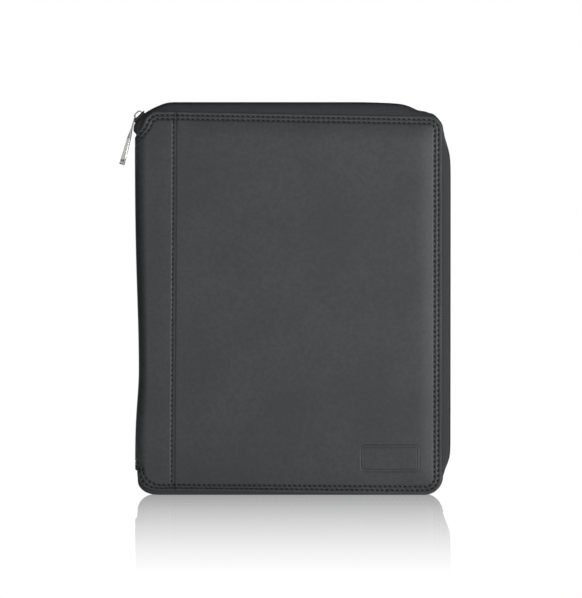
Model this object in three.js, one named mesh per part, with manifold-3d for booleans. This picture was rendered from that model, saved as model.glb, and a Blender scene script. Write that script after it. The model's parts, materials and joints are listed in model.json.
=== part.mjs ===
// A zip-around leather document folder for A4 sheets, closed and standing on its lower zip edge.
// Millimetres. X runs from the spine to the free edge, Y from the front cover to the back cover, Z is up.
// Shapes are drawn with X = 0 on the spine's outer face, Y = 0 half way through the folder and Z = 0 on the
// ground, and the whole folder is moved along X at the end, so that the origin is under its middle.

import * as THREE from 'three';
import { mergeVertices } from 'three/addons/utils/BufferGeometryUtils.js';
import Module from 'manifold-3d';

const wasm = await Module();
wasm.setup();

// Driving dimensions: the folder as a whole
const closedThickness = 26;
const coverWidth = 265;
const coverHeight = 327.6;
const groundClearance = 1.8;

// Driving dimensions: outline of the leather
const upperCornerRadius = 8.7;
const lowerCornerRadius = 11;
const spineCornerRadius = 21.7;
const spineCornerOffset = 1.7;
const cutWidth = 12.2;
const cutHeight = 14.5;
const cutEnd = 4.3;
const spineLeatherLow = 24.7;
const spineLeatherDrop = 18.9;
const spineEdgeRadius = 6.5;

// Driving dimensions: layers of a cover, from the outside in
const skivedThickness = 0.8;
const leatherThickness = 1.2;
const paddingThickness = 1.5;
const boardThickness = 1.8;
const liningThickness = 0.7;
const layerGap = 0.1;
const fitGap = 0.3;

// Driving dimensions: the cover's seams and insets
const seamX = 34.6;
const skivedOverlap = 7;
const underBandSkive = 0.2;
const tapeFlange = 7;
const flangeToWall = 1.3;
const liningRimInset = 1.6;
const hingeRim = 1.5;

// Driving dimensions: the spine
const hingeGap = 0.4;
const stiffenerThickness = 1;
const stiffenerHalfWidth = 6.2;
const spineLiningHalfWidth = 9;
const spineLiningEndGap = 2.5;
const stiffenerEndGap = 5.5;

// Driving dimensions: the zip
const tapeThickness = 0.8;
const tapeInnerEdge = 1.4;
const tapeFlatHalf = 5.2;
const tapeArcEnd = 5.6;
const groundArcEnd = 8.4;
const flatMargin = 0.25;
const coilFlatHalf = 3.8;
const coilInner = 1.2;
const coilWidth = 1.8;
const coilLift = 0.45;
const coilHeight = 1.65;
const bulgeStart = -1.2;
const topBulge = 7.9;
const sideBulge = 5.8;
const cornerBulge = 0.3;
const coilGroundGap = 0.4;
const bulgeRise = 15;
const zipSplitX = 34.5;
const zipSplitGap = 0.6;

// Driving dimensions: the zip's ends at the spine
const topBendX = 32.1;
const topBendRadius = 39.4;
const topBendEnd = THREE.MathUtils.degToRad(54);
const tailBendRadius = 5.5;
const tailTurnEnd = THREE.MathUtils.degToRad(80);
const tailTipX = -0.5;
const tailTipRise = 1.6;
const tailHalfWidth = 6;
const tailLength = 13;
const lowBendX = 23.4;
const lowBendRadius = 21;
const endCoilStop = THREE.MathUtils.degToRad(49);
const lowCoilStop = THREE.MathUtils.degToRad(62);
const lowBendEnd = THREE.MathUtils.degToRad(82);

// Driving dimensions: slider, bail and pull
const sliderAngle = THREE.MathUtils.degToRad(43.5);
const sliderHalfWidth = 4.8;
const sliderRearHalfWidth = 4.1;
const sliderRear = 6.3;
const sliderNose = 7.1;
const sliderNoseSlope = 2.8;
const sliderNoseDrop = 2;
const sliderPlate = 0.9;
const channelTop = 2.55;
const channelBottom = -1.25;
const slotTop = 0.75;
const flangeWidth = 1.1;
const postHalfWidth = 1;
const postLength = 2.4;
const bailHalfWidth = 0.9;
const bailBar = 1;
const bailLength = 8.4;
const bailOpening = 2.5;
const pullLength = 43.8;
const pullHang = THREE.MathUtils.degToRad(15.6);
const pullTwist = THREE.MathUtils.degToRad(50);
const pullEyeBar = 0.5;
const pullEyeHoleLength = 2.8;
const pullEyeHalfWidth = 2.4;
const pullEyeBridge = 1.4;
const pullCheekWidth = 1.1;
const pullNeckHalfWidth = 1.2;
const pullEndHalfWidth = 2.9;
const pullThickness = 1.4;

// Driving dimensions: pockets and pen loop inside
const pocketThickness = 0.6;
const pocketDepth = 0.7;
const pocketHem = 3;
const pocketEdgeInset = 12;
const pocketStartX = 30;
const pocketHeight = 190;
const padPanelHeight = 120;
const cardPocketWidth = 96;
const cardPocketHeight = 58;
const cardPocketStep = 14;
const cardPocketSide = 16;
const cardPocketBase = 112;
const cardPocketCount = 3;
const penLoopDiameterY = 10.4;
const penLoopDiameterX = 13;
const penLoopWall = 0.8;
const penLoopLength = 42;
const penLoopBase = 150;
const penLoopX = 20;

// Places worked out from the driving dimensions
const halfThickness = closedThickness / 2;
const leatherLow = groundClearance;
const leatherHigh = groundClearance + coverHeight;
const coverStart = spineEdgeRadius + hingeGap;
const panelOuter = skivedThickness + layerGap;
const panelInner = panelOuter + leatherThickness;
const tapeOuter = panelInner + layerGap;
const rimOuter = tapeOuter + tapeThickness + layerGap;
const boardOuter = tapeOuter + paddingThickness + layerGap;
const liningOuter = boardOuter + boardThickness + layerGap;
const liningInner = liningOuter + liningThickness;
const liningWallInset = tapeFlange + flangeToWall;
const boardInset = liningWallInset + liningThickness + fitGap;
const flangeY = halfThickness - tapeOuter - tapeThickness / 2;
const groundShoulder = groundClearance - tapeThickness / 2;
const groundCoil = groundClearance - coilGroundGap - coilLift - coilHeight;
const topBendZ = leatherHigh + topBulge - topBendRadius;
const lowBendZ = leatherLow - groundCoil + lowBendRadius;
const spineCornerX = spineCornerOffset + spineCornerRadius;
const spineCornerZ = leatherLow + spineCornerRadius;
const tailX = leatherThickness + fitGap - layerGap + tapeThickness / 2;
const stiffenerX = tailX + tapeThickness / 2 + layerGap * 2;
const spineLiningX = stiffenerX + stiffenerThickness + fitGap;
const spineLeatherHigh = leatherHigh - spineLeatherDrop;

// Materials, one object for each finish; every mesh gets its own copy
const finishes = {
  leather: { color: 0x494a4b, roughness: 0.55, metalness: 0 },
  suede: { color: 0x3a3a3b, roughness: 0.9, metalness: 0 },
  foam: { color: 0x8a8a86, roughness: 0.95, metalness: 0 },
  board: { color: 0x9b8f7d, roughness: 0.9, metalness: 0 },
  lining: { color: 0x2c2d2f, roughness: 0.85, metalness: 0 },
  tape: { color: 0x3a3b3d, roughness: 0.8, metalness: 0 },
  coil: { color: 0x232425, roughness: 0.45, metalness: 0 },
  darkMetal: { color: 0x37383a, roughness: 0.4, metalness: 0.9 },
  silver: { color: 0xb4b4b4, roughness: 0.3, metalness: 1 },
};

const folder = new THREE.Group();

function addPiece(name, geometry, finish, parent = folder) {
  const mesh = new THREE.Mesh(geometry, new THREE.MeshStandardMaterial(finishes[finish]));
  mesh.name = name;
  parent.add(mesh);
  return mesh;
}

// Solids for cutting and joining

function toSolid(geometry) {
  const bare = geometry.clone();
  for (const attribute of ['normal', 'uv']) {
    if (bare.hasAttribute(attribute)) bare.deleteAttribute(attribute);
  }
  const merged = mergeVertices(bare, 1e-4);
  return new wasm.Manifold(new wasm.Mesh({
    numProp: 3,
    vertProperties: new Float32Array(merged.attributes.position.array),
    triVerts: new Uint32Array(merged.index.array),
  }));
}

function toGeometry(solid) {
  const mesh = solid.getMesh();
  const geometry = new THREE.BufferGeometry();
  geometry.setAttribute('position', new THREE.BufferAttribute(mesh.vertProperties, 3));
  geometry.setIndex(new THREE.BufferAttribute(mesh.triVerts, 1));
  geometry.computeVertexNormals();
  return geometry;
}

function join(...geometries) {
  const solids = geometries.map(toSolid);
  return toGeometry(solids.slice(1).reduce((sum, solid) => sum.add(solid), solids[0]));
}

function cut(geometry, ...tools) {
  return toGeometry(tools.map(toSolid).reduce((rest, tool) => rest.subtract(tool), toSolid(geometry)));
}

function common(geometry, tool) {
  return toGeometry(toSolid(geometry).intersect(toSolid(tool)));
}

function block(x0, x1, y0, y1, z0, z1) {
  const box = new THREE.BoxGeometry(x1 - x0, y1 - y0, z1 - z0);
  return box.translate((x0 + x1) / 2, (y0 + y1) / 2, (z0 + z1) / 2);
}

// A shape drawn in X and Z, given a depth along Y
function prismAlongY(shape, y0, y1, curveSegments = 6) {
  const prism = new THREE.ExtrudeGeometry(shape, { depth: y1 - y0, bevelEnabled: false, curveSegments });
  return prism.rotateX(Math.PI / 2).translate(0, y1, 0);
}

// A shape drawn in X and Y, given a height along Z
function prismAlongZ(shape, z0, z1, curveSegments = 6) {
  const prism = new THREE.ExtrudeGeometry(shape, { depth: z1 - z0, bevelEnabled: false, curveSegments });
  return prism.translate(0, 0, z0);
}

function polygon(points) {
  return new THREE.Shape(points.map(([a, b]) => new THREE.Vector2(a, b)));
}

function roundedRectangle(a0, a1, b0, b1, radius) {
  const shape = new THREE.Shape();
  shape.moveTo(a0 + radius, b0);
  shape.lineTo(a1 - radius, b0);
  shape.absarc(a1 - radius, b0 + radius, radius, -Math.PI / 2, 0);
  shape.lineTo(a1, b1 - radius);
  shape.absarc(a1 - radius, b1 - radius, radius, 0, Math.PI / 2);
  shape.lineTo(a0 + radius, b1);
  shape.absarc(a0 + radius, b1 - radius, radius, Math.PI / 2, Math.PI);
  shape.lineTo(a0, b0 + radius);
  shape.absarc(a0 + radius, b0 + radius, radius, Math.PI, Math.PI * 1.5);
  return shape;
}

// A closed sheet of even thickness round a grid of middle points. Each point moves half the thickness both
// ways along the grid's own normal, which comes from its neighbours in the two directions of the grid.
function sheetSolid(rows, sheetThickness) {
  const rowCount = rows.length;
  const columnCount = rows[0].length;
  const positions = [];
  for (const direction of [1, -1]) {
    for (let i = 0; i < rowCount; i += 1) {
      for (let j = 0; j < columnCount; j += 1) {
        const along = rows[Math.min(i + 1, rowCount - 1)][j].clone().sub(rows[Math.max(i - 1, 0)][j]);
        const across = rows[i][Math.min(j + 1, columnCount - 1)].clone().sub(rows[i][Math.max(j - 1, 0)]);
        const normal = along.cross(across).normalize().multiplyScalar(direction * sheetThickness / 2);
        positions.push(...rows[i][j].clone().add(normal).toArray());
      }
    }
  }
  const upper = (i, j) => i * columnCount + j;
  const lower = (i, j) => rowCount * columnCount + upper(i, j);
  const indices = [];
  const quad = (a, b, c, d) => indices.push(a, b, c, a, c, d);
  for (let i = 0; i < rowCount - 1; i += 1) {
    for (let j = 0; j < columnCount - 1; j += 1) {
      quad(upper(i, j), upper(i + 1, j), upper(i + 1, j + 1), upper(i, j + 1));
      quad(lower(i, j), lower(i, j + 1), lower(i + 1, j + 1), lower(i + 1, j));
    }
    quad(upper(i, 0), lower(i, 0), lower(i + 1, 0), upper(i + 1, 0));
    quad(upper(i, columnCount - 1), upper(i + 1, columnCount - 1), lower(i + 1, columnCount - 1),
      lower(i, columnCount - 1));
  }
  for (let j = 0; j < columnCount - 1; j += 1) {
    quad(upper(0, j), upper(0, j + 1), lower(0, j + 1), lower(0, j));
    quad(upper(rowCount - 1, j), lower(rowCount - 1, j), lower(rowCount - 1, j + 1), upper(rowCount - 1, j + 1));
  }
  const geometry = new THREE.BufferGeometry();
  geometry.setAttribute('position', new THREE.Float32BufferAttribute(positions, 3));
  geometry.setIndex(indices);
  return facingOut(geometry);
}

// A closed body through equal rings of points, with a flat fan on each end
function loftSolid(rings) {
  const ringSize = rings[0].length;
  const indices = [];
  rings.slice(1).forEach((ring, i) => {
    for (let j = 0; j < ringSize; j += 1) {
      const next = (j + 1) % ringSize;
      const a = i * ringSize + j;
      const b = i * ringSize + next;
      indices.push(a, b, b + ringSize, a, b + ringSize, a + ringSize);
    }
  });
  const last = (rings.length - 1) * ringSize;
  for (let j = 1; j < ringSize - 1; j += 1) {
    indices.push(0, j + 1, j, last, last + j, last + j + 1);
  }
  const geometry = new THREE.BufferGeometry();
  geometry.setAttribute('position', new THREE.Float32BufferAttribute(rings.flat().flatMap((p) => p.toArray()), 3));
  geometry.setIndex(indices);
  return facingOut(geometry);
}

// Turns every triangle round if the body's signed volume comes out negative
function facingOut(geometry) {
  const index = geometry.index.array;
  const corners = [new THREE.Vector3(), new THREE.Vector3(), new THREE.Vector3()];
  let volume = 0;
  for (let i = 0; i < index.length; i += 3) {
    corners.forEach((corner, k) => corner.fromBufferAttribute(geometry.attributes.position, index[i + k]));
    volume += corners[0].dot(corners[1].clone().cross(corners[2])) / 6;
  }
  if (volume < 0) {
    for (let i = 0; i < index.length; i += 3) {
      [index[i + 1], index[i + 2]] = [index[i + 2], index[i + 1]];
    }
  }
  geometry.computeVertexNormals();
  return geometry;
}

// Outline of the leather in X and Z

// Height of the lower edge at x, for a layer that stops short of the leather's edge by the inset
function lowEdgeAt(x, inset) {
  if (x >= spineCornerX) return leatherLow + inset;
  const radius = spineCornerRadius - inset;
  return spineCornerZ - Math.sqrt(Math.max(radius ** 2 - (spineCornerX - x) ** 2, 0));
}

// Height of the upper edge at x: level, and falling along the diagonal cut near the spine
function highEdgeAt(x, inset) {
  const slope = cutHeight / cutWidth;
  const cutLine = leatherHigh + (x - cutEnd - cutWidth) * slope - inset * Math.hypot(1, slope);
  return Math.min(cutLine, leatherHigh - inset);
}

// Height of the upper edge of the spine's leather at x, between its outer face and the end of the cut
function spineHighAt(x) {
  return THREE.MathUtils.mapLinear(x, 0, cutEnd, spineLeatherHigh, highEdgeAt(cutEnd, 0));
}

// One layer of a cover from x = left to the free edge
function layerShape(inset, left) {
  const right = coverWidth - inset;
  const low = leatherLow + inset;
  const high = leatherHigh - inset;
  const lowRadius = Math.max(lowerCornerRadius - inset, 1);
  const highRadius = Math.max(upperCornerRadius - inset, 1);
  const cutTop = cutEnd + cutWidth + (inset * (Math.hypot(cutWidth, cutHeight) - cutWidth)) / cutHeight;
  const shape = new THREE.Shape();
  shape.moveTo(left, lowEdgeAt(left, inset));
  if (left < spineCornerX) {
    const startAngle = Math.atan2(lowEdgeAt(left, inset) - spineCornerZ, left - spineCornerX);
    shape.absarc(spineCornerX, spineCornerZ, spineCornerRadius - inset, startAngle, -Math.PI / 2);
  }
  shape.lineTo(right - lowRadius, low);
  shape.absarc(right - lowRadius, low + lowRadius, lowRadius, -Math.PI / 2, 0);
  shape.lineTo(right, high - highRadius);
  shape.absarc(right - highRadius, high - highRadius, highRadius, 0, Math.PI / 2);
  if (left < cutTop) shape.lineTo(cutTop, high);
  shape.lineTo(left, highEdgeAt(left, inset));
  return shape;
}

// A layer as a solid between two depths under the cover's outer face; side is -1 in front and 1 behind
function layerSolid(side, inset, left, depth0, depth1) {
  const y0 = side * (halfThickness - depth0);
  const y1 = side * (halfThickness - depth1);
  return prismAlongY(layerShape(inset, left), Math.min(y0, y1), Math.max(y0, y1));
}

// Everything left of x = limit
function leftOf(geometry, limit) {
  return common(geometry, block(-coverWidth, limit, -closedThickness, closedThickness, -coverHeight, 2 * coverHeight));
}

// Sections of the zip tape

// One tape half in section, from its outer edge to its inner edge beside the middle of the zip: round the
// bulge as a quarter of an ellipse from base to shoulder, then flat, then down or level to the coil's seat.
// The two places inside the flat part, a margin from its ends, keep it level between them.
// Each place is [x, z]; outerY is the distance of the base from the middle of the folder.
function tapeHalf(section, side) {
  const { flange, base, shoulder, coil, outerY, arcEnd } = section;
  const point = ([x, z], y) => new THREE.Vector3(x, side * y, z);
  const points = flange ? [point(flange, outerY)] : [];
  const arcSteps = 5;
  for (let k = 0; k <= arcSteps; k += 1) {
    const angle = (k / arcSteps) * (Math.PI / 2);
    const x = base[0] + (shoulder[0] - base[0]) * Math.sin(angle);
    const z = base[1] + (shoulder[1] - base[1]) * Math.sin(angle);
    points.push(point([x, z], arcEnd + (outerY - arcEnd) * Math.cos(angle)));
  }
  for (const share of [flatMargin, 1 - flatMargin, 1]) {
    points.push(point(shoulder, THREE.MathUtils.lerp(arcEnd, tapeFlatHalf, share)));
  }
  points.push(point(coil, coilFlatHalf), point(coil, tapeInnerEdge));
  return points;
}

// Stations round the free edges of a cover: where the leather's edge is, which way is out, and how far the
// coil's seat and the tape's shoulder stand out there
const freeEdge = [];

// Distances of the stations from a corner, close together where the bulge grows steeply
const cornerSpacings = [0, 4, 9, 15, 22, 32, 48];
const topMiddleSpacing = 80;
const groundLevelStart = 8;

function addStation(x, z, angle, coilBulge, shoulderBulge, arcEnd) {
  freeEdge.push({ x, z, nx: Math.cos(angle), nz: Math.sin(angle), coilBulge, shoulderBulge, arcEnd });
}

// The bulge grows from the tight corner towards the middle of a side, steeply at first
function bulgeFrom(distance) {
  return 1 - Math.exp(-distance / bulgeRise);
}

function addTopRun() {
  const end = coverWidth - upperCornerRadius;
  const spacings = [...cornerSpacings, topMiddleSpacing, end - zipSplitX - zipSplitGap / 2];
  for (const distance of spacings.reverse()) {
    const bulge = cornerBulge + (topBulge - cornerBulge) * bulgeFrom(distance);
    addStation(end - distance, leatherHigh, Math.PI / 2, bulge, bulge, tapeArcEnd);
  }
}

function addCorner(x, z, radius, from, to, start, end) {
  const steps = 5;
  for (let k = 1; k < steps; k += 1) {
    const share = k / steps;
    const angle = THREE.MathUtils.lerp(from, to, share);
    addStation(x + radius * Math.cos(angle), z + radius * Math.sin(angle), angle,
      THREE.MathUtils.lerp(start.coil, end.coil, share), THREE.MathUtils.lerp(start.shoulder, end.shoulder, share),
      THREE.MathUtils.lerp(start.arcEnd, end.arcEnd, share));
  }
}

function addSideRun() {
  const high = leatherHigh - upperCornerRadius;
  const low = leatherLow + lowerCornerRadius;
  const places = [
    ...cornerSpacings.map((d) => high - d),
    (high + low) / 2,
    ...cornerSpacings.map((d) => low + d).reverse(),
  ];
  for (const z of places) {
    const bulge = cornerBulge + (sideBulge - cornerBulge) * bulgeFrom(high - z) * bulgeFrom(z - low);
    addStation(coverWidth, z, 0, bulge, bulge, tapeArcEnd);
  }
}

const tightCorner = { coil: cornerBulge, shoulder: cornerBulge, arcEnd: tapeArcEnd };
const groundEdge = { coil: groundCoil, shoulder: groundShoulder, arcEnd: groundArcEnd };
addTopRun();
addCorner(coverWidth - upperCornerRadius, leatherHigh - upperCornerRadius, upperCornerRadius,
  Math.PI / 2, 0, tightCorner, tightCorner);
addSideRun();
addCorner(coverWidth - lowerCornerRadius, leatherLow + lowerCornerRadius, lowerCornerRadius,
  0, -Math.PI / 2, tightCorner, groundEdge);
const groundStart = coverWidth - lowerCornerRadius;
for (const x of [groundStart, groundStart - groundLevelStart, coverWidth / 2, zipSplitX + zipSplitGap / 2]) {
  addStation(x, leatherLow, -Math.PI / 2, groundCoil, groundShoulder, groundArcEnd);
}

function outFrom(station, distance) {
  return [station.x + station.nx * distance, station.z + station.nz * distance];
}

function zipTape(side) {
  const rows = freeEdge.map((station) => tapeHalf({
    flange: outFrom(station, -tapeFlange),
    base: outFrom(station, bulgeStart),
    shoulder: outFrom(station, station.shoulderBulge),
    coil: outFrom(station, station.coilBulge),
    outerY: flangeY,
    arcEnd: station.arcEnd,
  }, side));
  return sheetSolid(rows, tapeThickness);
}

// A coil half: a flat band of even height beside the middle of the zip. The line gives [x, z] places on the
// tape and the way out at each.
function coilBand(line, side) {
  const at = (place, lift) => [place.x + place.nx * lift, place.z + place.nz * lift];
  const inside = line.map((place) => at(place, coilLift));
  const outside = line.map((place) => at(place, coilLift + coilHeight)).reverse();
  const y0 = side * coilInner;
  const y1 = side * (coilInner + coilWidth);
  return prismAlongY(polygon([...inside, ...outside]), Math.min(y0, y1), Math.max(y0, y1));
}

const coverCoilLine = freeEdge.map((station) => {
  const [x, z] = outFrom(station, station.coilBulge);
  return { x, z, nx: station.nx, nz: station.nz };
});

// The covers

function bandLeather(side) {
  const skived = leftOf(layerSolid(side, 0, coverStart, 0, skivedThickness), seamX);
  const full = leftOf(layerSolid(side, 0, coverStart, skivedThickness - layerGap, panelInner), seamX - skivedOverlap);
  return join(skived, full);
}

// The panel's leather is pared on its outer face where it goes under the band
function panelLeather(side) {
  const pared = layerSolid(side, 0, seamX - skivedOverlap + fitGap, panelOuter + underBandSkive, panelInner);
  return join(pared, layerSolid(side, 0, seamX + fitGap, panelOuter, panelInner));
}

// The lining is a shallow tray: its rim is sewn behind the tape, and its floor covers the board
function coverLining(side) {
  const rimInner = rimOuter + liningThickness;
  const wallLeft = coverStart + hingeRim;
  const rim = layerSolid(side, liningRimInset, coverStart, rimOuter, rimInner);
  const tray = layerSolid(side, liningWallInset, wallLeft, rimOuter, liningInner);
  const hollow = layerSolid(side, liningWallInset + liningThickness, wallLeft + liningThickness, 0, liningOuter);
  return cut(join(rim, tray), hollow);
}

// A flat pocket: a sheet on three hemmed edges, open along its upper edge
function flatPocket(side, x0, x1, z0, z1, baseDepth) {
  const y = (depth) => side * (halfThickness - depth);
  const outerFace = y(baseDepth);
  const sheetFace = y(baseDepth + pocketDepth + pocketThickness);
  const whole = block(x0, x1, Math.min(outerFace, sheetFace), Math.max(outerFace, sheetFace), z0, z1);
  const innerFace = y(baseDepth + pocketDepth);
  const hollow = block(x0 + pocketHem, x1 - pocketHem, Math.min(innerFace, side * closedThickness),
    Math.max(innerFace, side * closedThickness), z0 + pocketHem, z1 + pocketHem);
  return cut(whole, hollow);
}

for (const [name, side] of [['front', -1], ['back', 1]]) {
  const boardLeft = coverStart + hingeRim + liningThickness + fitGap;
  addPiece(`${name}_panel_leather`, panelLeather(side), 'leather');
  addPiece(`${name}_band_leather`, bandLeather(side), 'leather');
  addPiece(`${name}_padding`, layerSolid(side, boardInset, boardLeft, tapeOuter, tapeOuter + paddingThickness),
    'foam');
  addPiece(`${name}_board`, layerSolid(side, boardInset, boardLeft, boardOuter, boardOuter + boardThickness),
    'board');
  addPiece(`${name}_lining`, coverLining(side), 'lining');
  addPiece(`${name}_zip_tape`, zipTape(side), 'tape');
  addPiece(`${name}_zip_coil`, coilBand(coverCoilLine, side), 'coil');
}

// Inside the front cover: the document pocket, with card pockets stepped down its face

const pocketRight = coverWidth - pocketEdgeInset;
const pocketLow = leatherLow + pocketEdgeInset;
const pocketFace = liningInner + layerGap + pocketDepth + pocketThickness + layerGap;
addPiece('document_pocket', flatPocket(-1, pocketStartX, pocketRight, pocketLow, pocketLow + pocketHeight,
  liningInner + layerGap), 'suede');
for (let k = 0; k < cardPocketCount; k += 1) {
  const depth = pocketFace + k * (pocketThickness + layerGap);
  const right = pocketRight - cardPocketSide;
  const base = cardPocketBase - k * cardPocketStep;
  const sheet = block(right - cardPocketWidth, right, -halfThickness + depth, -halfThickness + depth + pocketThickness,
    base, base + cardPocketHeight);
  addPiece(`card_pocket_${k + 1}`, sheet, 'suede');
}

// Inside the back cover: the panel that takes a writing pad's card back, and the pen loop by the spine

addPiece('pad_panel', flatPocket(1, pocketStartX, pocketRight, pocketLow, pocketLow + padPanelHeight,
  liningInner + layerGap), 'suede');

function penLoop() {
  const faceY = halfThickness - liningInner - layerGap;
  const centreY = faceY - penLoopDiameterY / 2;
  const outer = new THREE.Shape();
  outer.absellipse(penLoopX, centreY, penLoopDiameterX / 2, penLoopDiameterY / 2, 0, Math.PI * 2);
  const bore = new THREE.Path();
  bore.absellipse(penLoopX, centreY, penLoopDiameterX / 2 - penLoopWall, penLoopDiameterY / 2 - penLoopWall,
    0, Math.PI * 2);
  outer.holes.push(bore);
  return prismAlongZ(outer, penLoopBase, penLoopBase + penLoopLength, 12);
}
addPiece('pen_loop', penLoop(), 'leather');

// The spine

// Spine leather in plan: a flat back with a rounded edge on each side, as far as the hinges
function spineLeather() {
  const shape = new THREE.Shape();
  const centreY = halfThickness - spineEdgeRadius;
  const inner = spineEdgeRadius - leatherThickness;
  shape.moveTo(spineEdgeRadius, -halfThickness);
  shape.lineTo(spineEdgeRadius, -halfThickness + leatherThickness);
  shape.absarc(spineEdgeRadius, -centreY, inner, -Math.PI / 2, -Math.PI, true);
  shape.lineTo(leatherThickness, centreY);
  shape.absarc(spineEdgeRadius, centreY, inner, Math.PI, Math.PI / 2, true);
  shape.lineTo(spineEdgeRadius, halfThickness);
  shape.absarc(spineEdgeRadius, centreY, spineEdgeRadius, Math.PI / 2, Math.PI);
  shape.lineTo(0, -centreY);
  shape.absarc(spineEdgeRadius, -centreY, spineEdgeRadius, Math.PI, Math.PI * 1.5);
  const wrap = prismAlongZ(shape, 0, coverHeight, 8);

  const outline = new THREE.Shape();
  const cornerStart = spineCornerOffset + layerGap;
  outline.moveTo(-spineEdgeRadius, spineLeatherLow);
  outline.lineTo(cornerStart, spineLeatherLow);
  const startAngle = Math.atan2(lowEdgeAt(cornerStart, 0) - spineCornerZ, cornerStart - spineCornerX);
  const endAngle = Math.atan2(lowEdgeAt(coverStart, 0) - spineCornerZ, coverStart - spineCornerX);
  outline.absarc(spineCornerX, spineCornerZ, spineCornerRadius, startAngle, endAngle);
  outline.lineTo(coverStart, highEdgeAt(coverStart, 0));
  outline.lineTo(cutEnd, spineHighAt(cutEnd));
  outline.lineTo(0, spineHighAt(0));
  outline.lineTo(-spineEdgeRadius, spineHighAt(0));
  return common(wrap, prismAlongY(outline, -closedThickness, closedThickness));
}
addPiece('spine_leather', spineLeather(), 'leather');
addPiece('spine_stiffener', block(stiffenerX, stiffenerX + stiffenerThickness, -stiffenerHalfWidth,
  stiffenerHalfWidth, spineLeatherLow + stiffenerEndGap, spineLeatherHigh - stiffenerEndGap), 'board');
addPiece('spine_lining', block(spineLiningX, spineLiningX + liningThickness, -spineLiningHalfWidth,
  spineLiningHalfWidth, spineLeatherLow + spineLiningEndGap, spineLeatherHigh - spineLiningEndGap), 'lining');

// The zip's ends, which stay closed at the spine

// A place on the upper bend: angle 0 is straight up from its centre and grows towards the spine
function topBend(angle, radius = topBendRadius) {
  return [topBendX - radius * Math.sin(angle), topBendZ + radius * Math.cos(angle)];
}

// Where the ray from the bend's centre meets the leather's upper edge, a fit gap outside it
function topBase(angle) {
  const slope = cutHeight / cutWidth;
  const toEdge = (leatherHigh + fitGap - topBendZ) / Math.cos(angle);
  const cutOffset = fitGap * Math.hypot(1, slope);
  const rise = leatherHigh + (topBendX - cutEnd - cutWidth) * slope + cutOffset - topBendZ;
  const toCut = rise / (Math.cos(angle) + slope * Math.sin(angle));
  return topBend(angle, Math.min(toEdge, toCut));
}

function lerpPlace(a, b, share) {
  return [THREE.MathUtils.lerp(a[0], b[0], share), THREE.MathUtils.lerp(a[1], b[1], share)];
}

function fullSection(section) {
  return [...tapeHalf(section, -1), ...tapeHalf(section, 1).reverse()];
}

const topSplitAngle = Math.asin((topBendX - zipSplitX + zipSplitGap / 2) / topBendRadius);

// Sections of the upper end: round the bend, through a tight turn at the spine and down inside its leather
function topEndRows() {
  const rows = [];
  const bendSteps = 10;
  for (let k = 0; k <= bendSteps; k += 1) {
    const angle = THREE.MathUtils.lerp(topSplitAngle, topBendEnd, k / bendSteps);
    const ridge = topBend(angle);
    rows.push(fullSection({ base: topBase(angle), shoulder: ridge, coil: ridge, outerY: flangeY, arcEnd: tapeArcEnd }));
  }
  const start = topBend(topBendEnd);
  const turnX = start[0] + tailBendRadius * Math.sin(topBendEnd);
  const turnZ = start[1] - tailBendRadius * Math.cos(topBendEnd);
  const ridges = [0.5, 1].map((share) => {
    const angle = THREE.MathUtils.lerp(topBendEnd, tailTurnEnd, share);
    return [turnX - tailBendRadius * Math.sin(angle), turnZ + tailBendRadius * Math.cos(angle)];
  });
  const entry = [tailX, spineHighAt(leatherThickness) + fitGap + tapeThickness];
  const tip = [tailTipX, entry[1] + tailTipRise];
  ridges.push(lerpPlace(ridges[1], tip, 0.7), tip);
  ridges.push([THREE.MathUtils.lerp(tip[0], entry[0], 0.5), THREE.MathUtils.lerp(tip[1], entry[1], 0.7)]);
  ridges.push(entry);
  const baseStart = topBase(topBendEnd);
  ridges.forEach((ridge, k) => {
    const share = (k + 1) / ridges.length;
    rows.push(fullSection({
      base: lerpPlace(baseStart, ridge, share),
      shoulder: ridge,
      coil: ridge,
      outerY: THREE.MathUtils.lerp(flangeY, tailHalfWidth, share),
      arcEnd: tapeArcEnd,
    }));
  });
  for (const depth of [1.5, tailLength]) {
    const tail = [tailX, entry[1] - depth];
    rows.push(fullSection({ base: tail, shoulder: tail, coil: tail, outerY: tailHalfWidth, arcEnd: tapeArcEnd }));
  }
  return rows;
}

// The gap between the two tape halves, as a curved bar round a bend; dir is 1 above and -1 below
function middleGap(centre, radius, from, to) {
  const reach = tapeThickness * 3;
  const steps = 14;
  const points = [];
  for (const r of [radius - reach, radius + reach]) {
    const arc = [];
    for (let k = 0; k <= steps; k += 1) {
      const angle = THREE.MathUtils.lerp(from, to, k / steps);
      arc.push([centre[0] - r * Math.sin(angle), centre[1] + r * Math.cos(angle)]);
    }
    points.push(...(r < radius ? arc : arc.reverse()));
  }
  return prismAlongY(polygon(points), -tapeInnerEdge, tapeInnerEdge);
}

const pastSplit = zipSplitGap * 2 / topBendRadius;
addPiece('zip_tape_end_top', cut(sheetSolid(topEndRows(), tapeThickness),
  middleGap([topBendX, topBendZ], topBendRadius, topSplitAngle - pastSplit, topBendEnd)), 'tape');

function bendLine(centre, radius, from, to, steps) {
  const line = [];
  for (let k = 0; k <= steps; k += 1) {
    const angle = THREE.MathUtils.lerp(from, to, k / steps);
    line.push({
      x: centre[0] - radius * Math.sin(angle),
      z: centre[1] + radius * Math.cos(angle),
      nx: -Math.sin(angle),
      nz: Math.cos(angle),
    });
  }
  return line;
}

const topCoilLine = bendLine([topBendX, topBendZ], topBendRadius, topSplitAngle, endCoilStop, 12);
addPiece('front_coil_end_top', coilBand(topCoilLine, -1), 'coil');
addPiece('back_coil_end_top', coilBand(topCoilLine, 1), 'coil');

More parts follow.
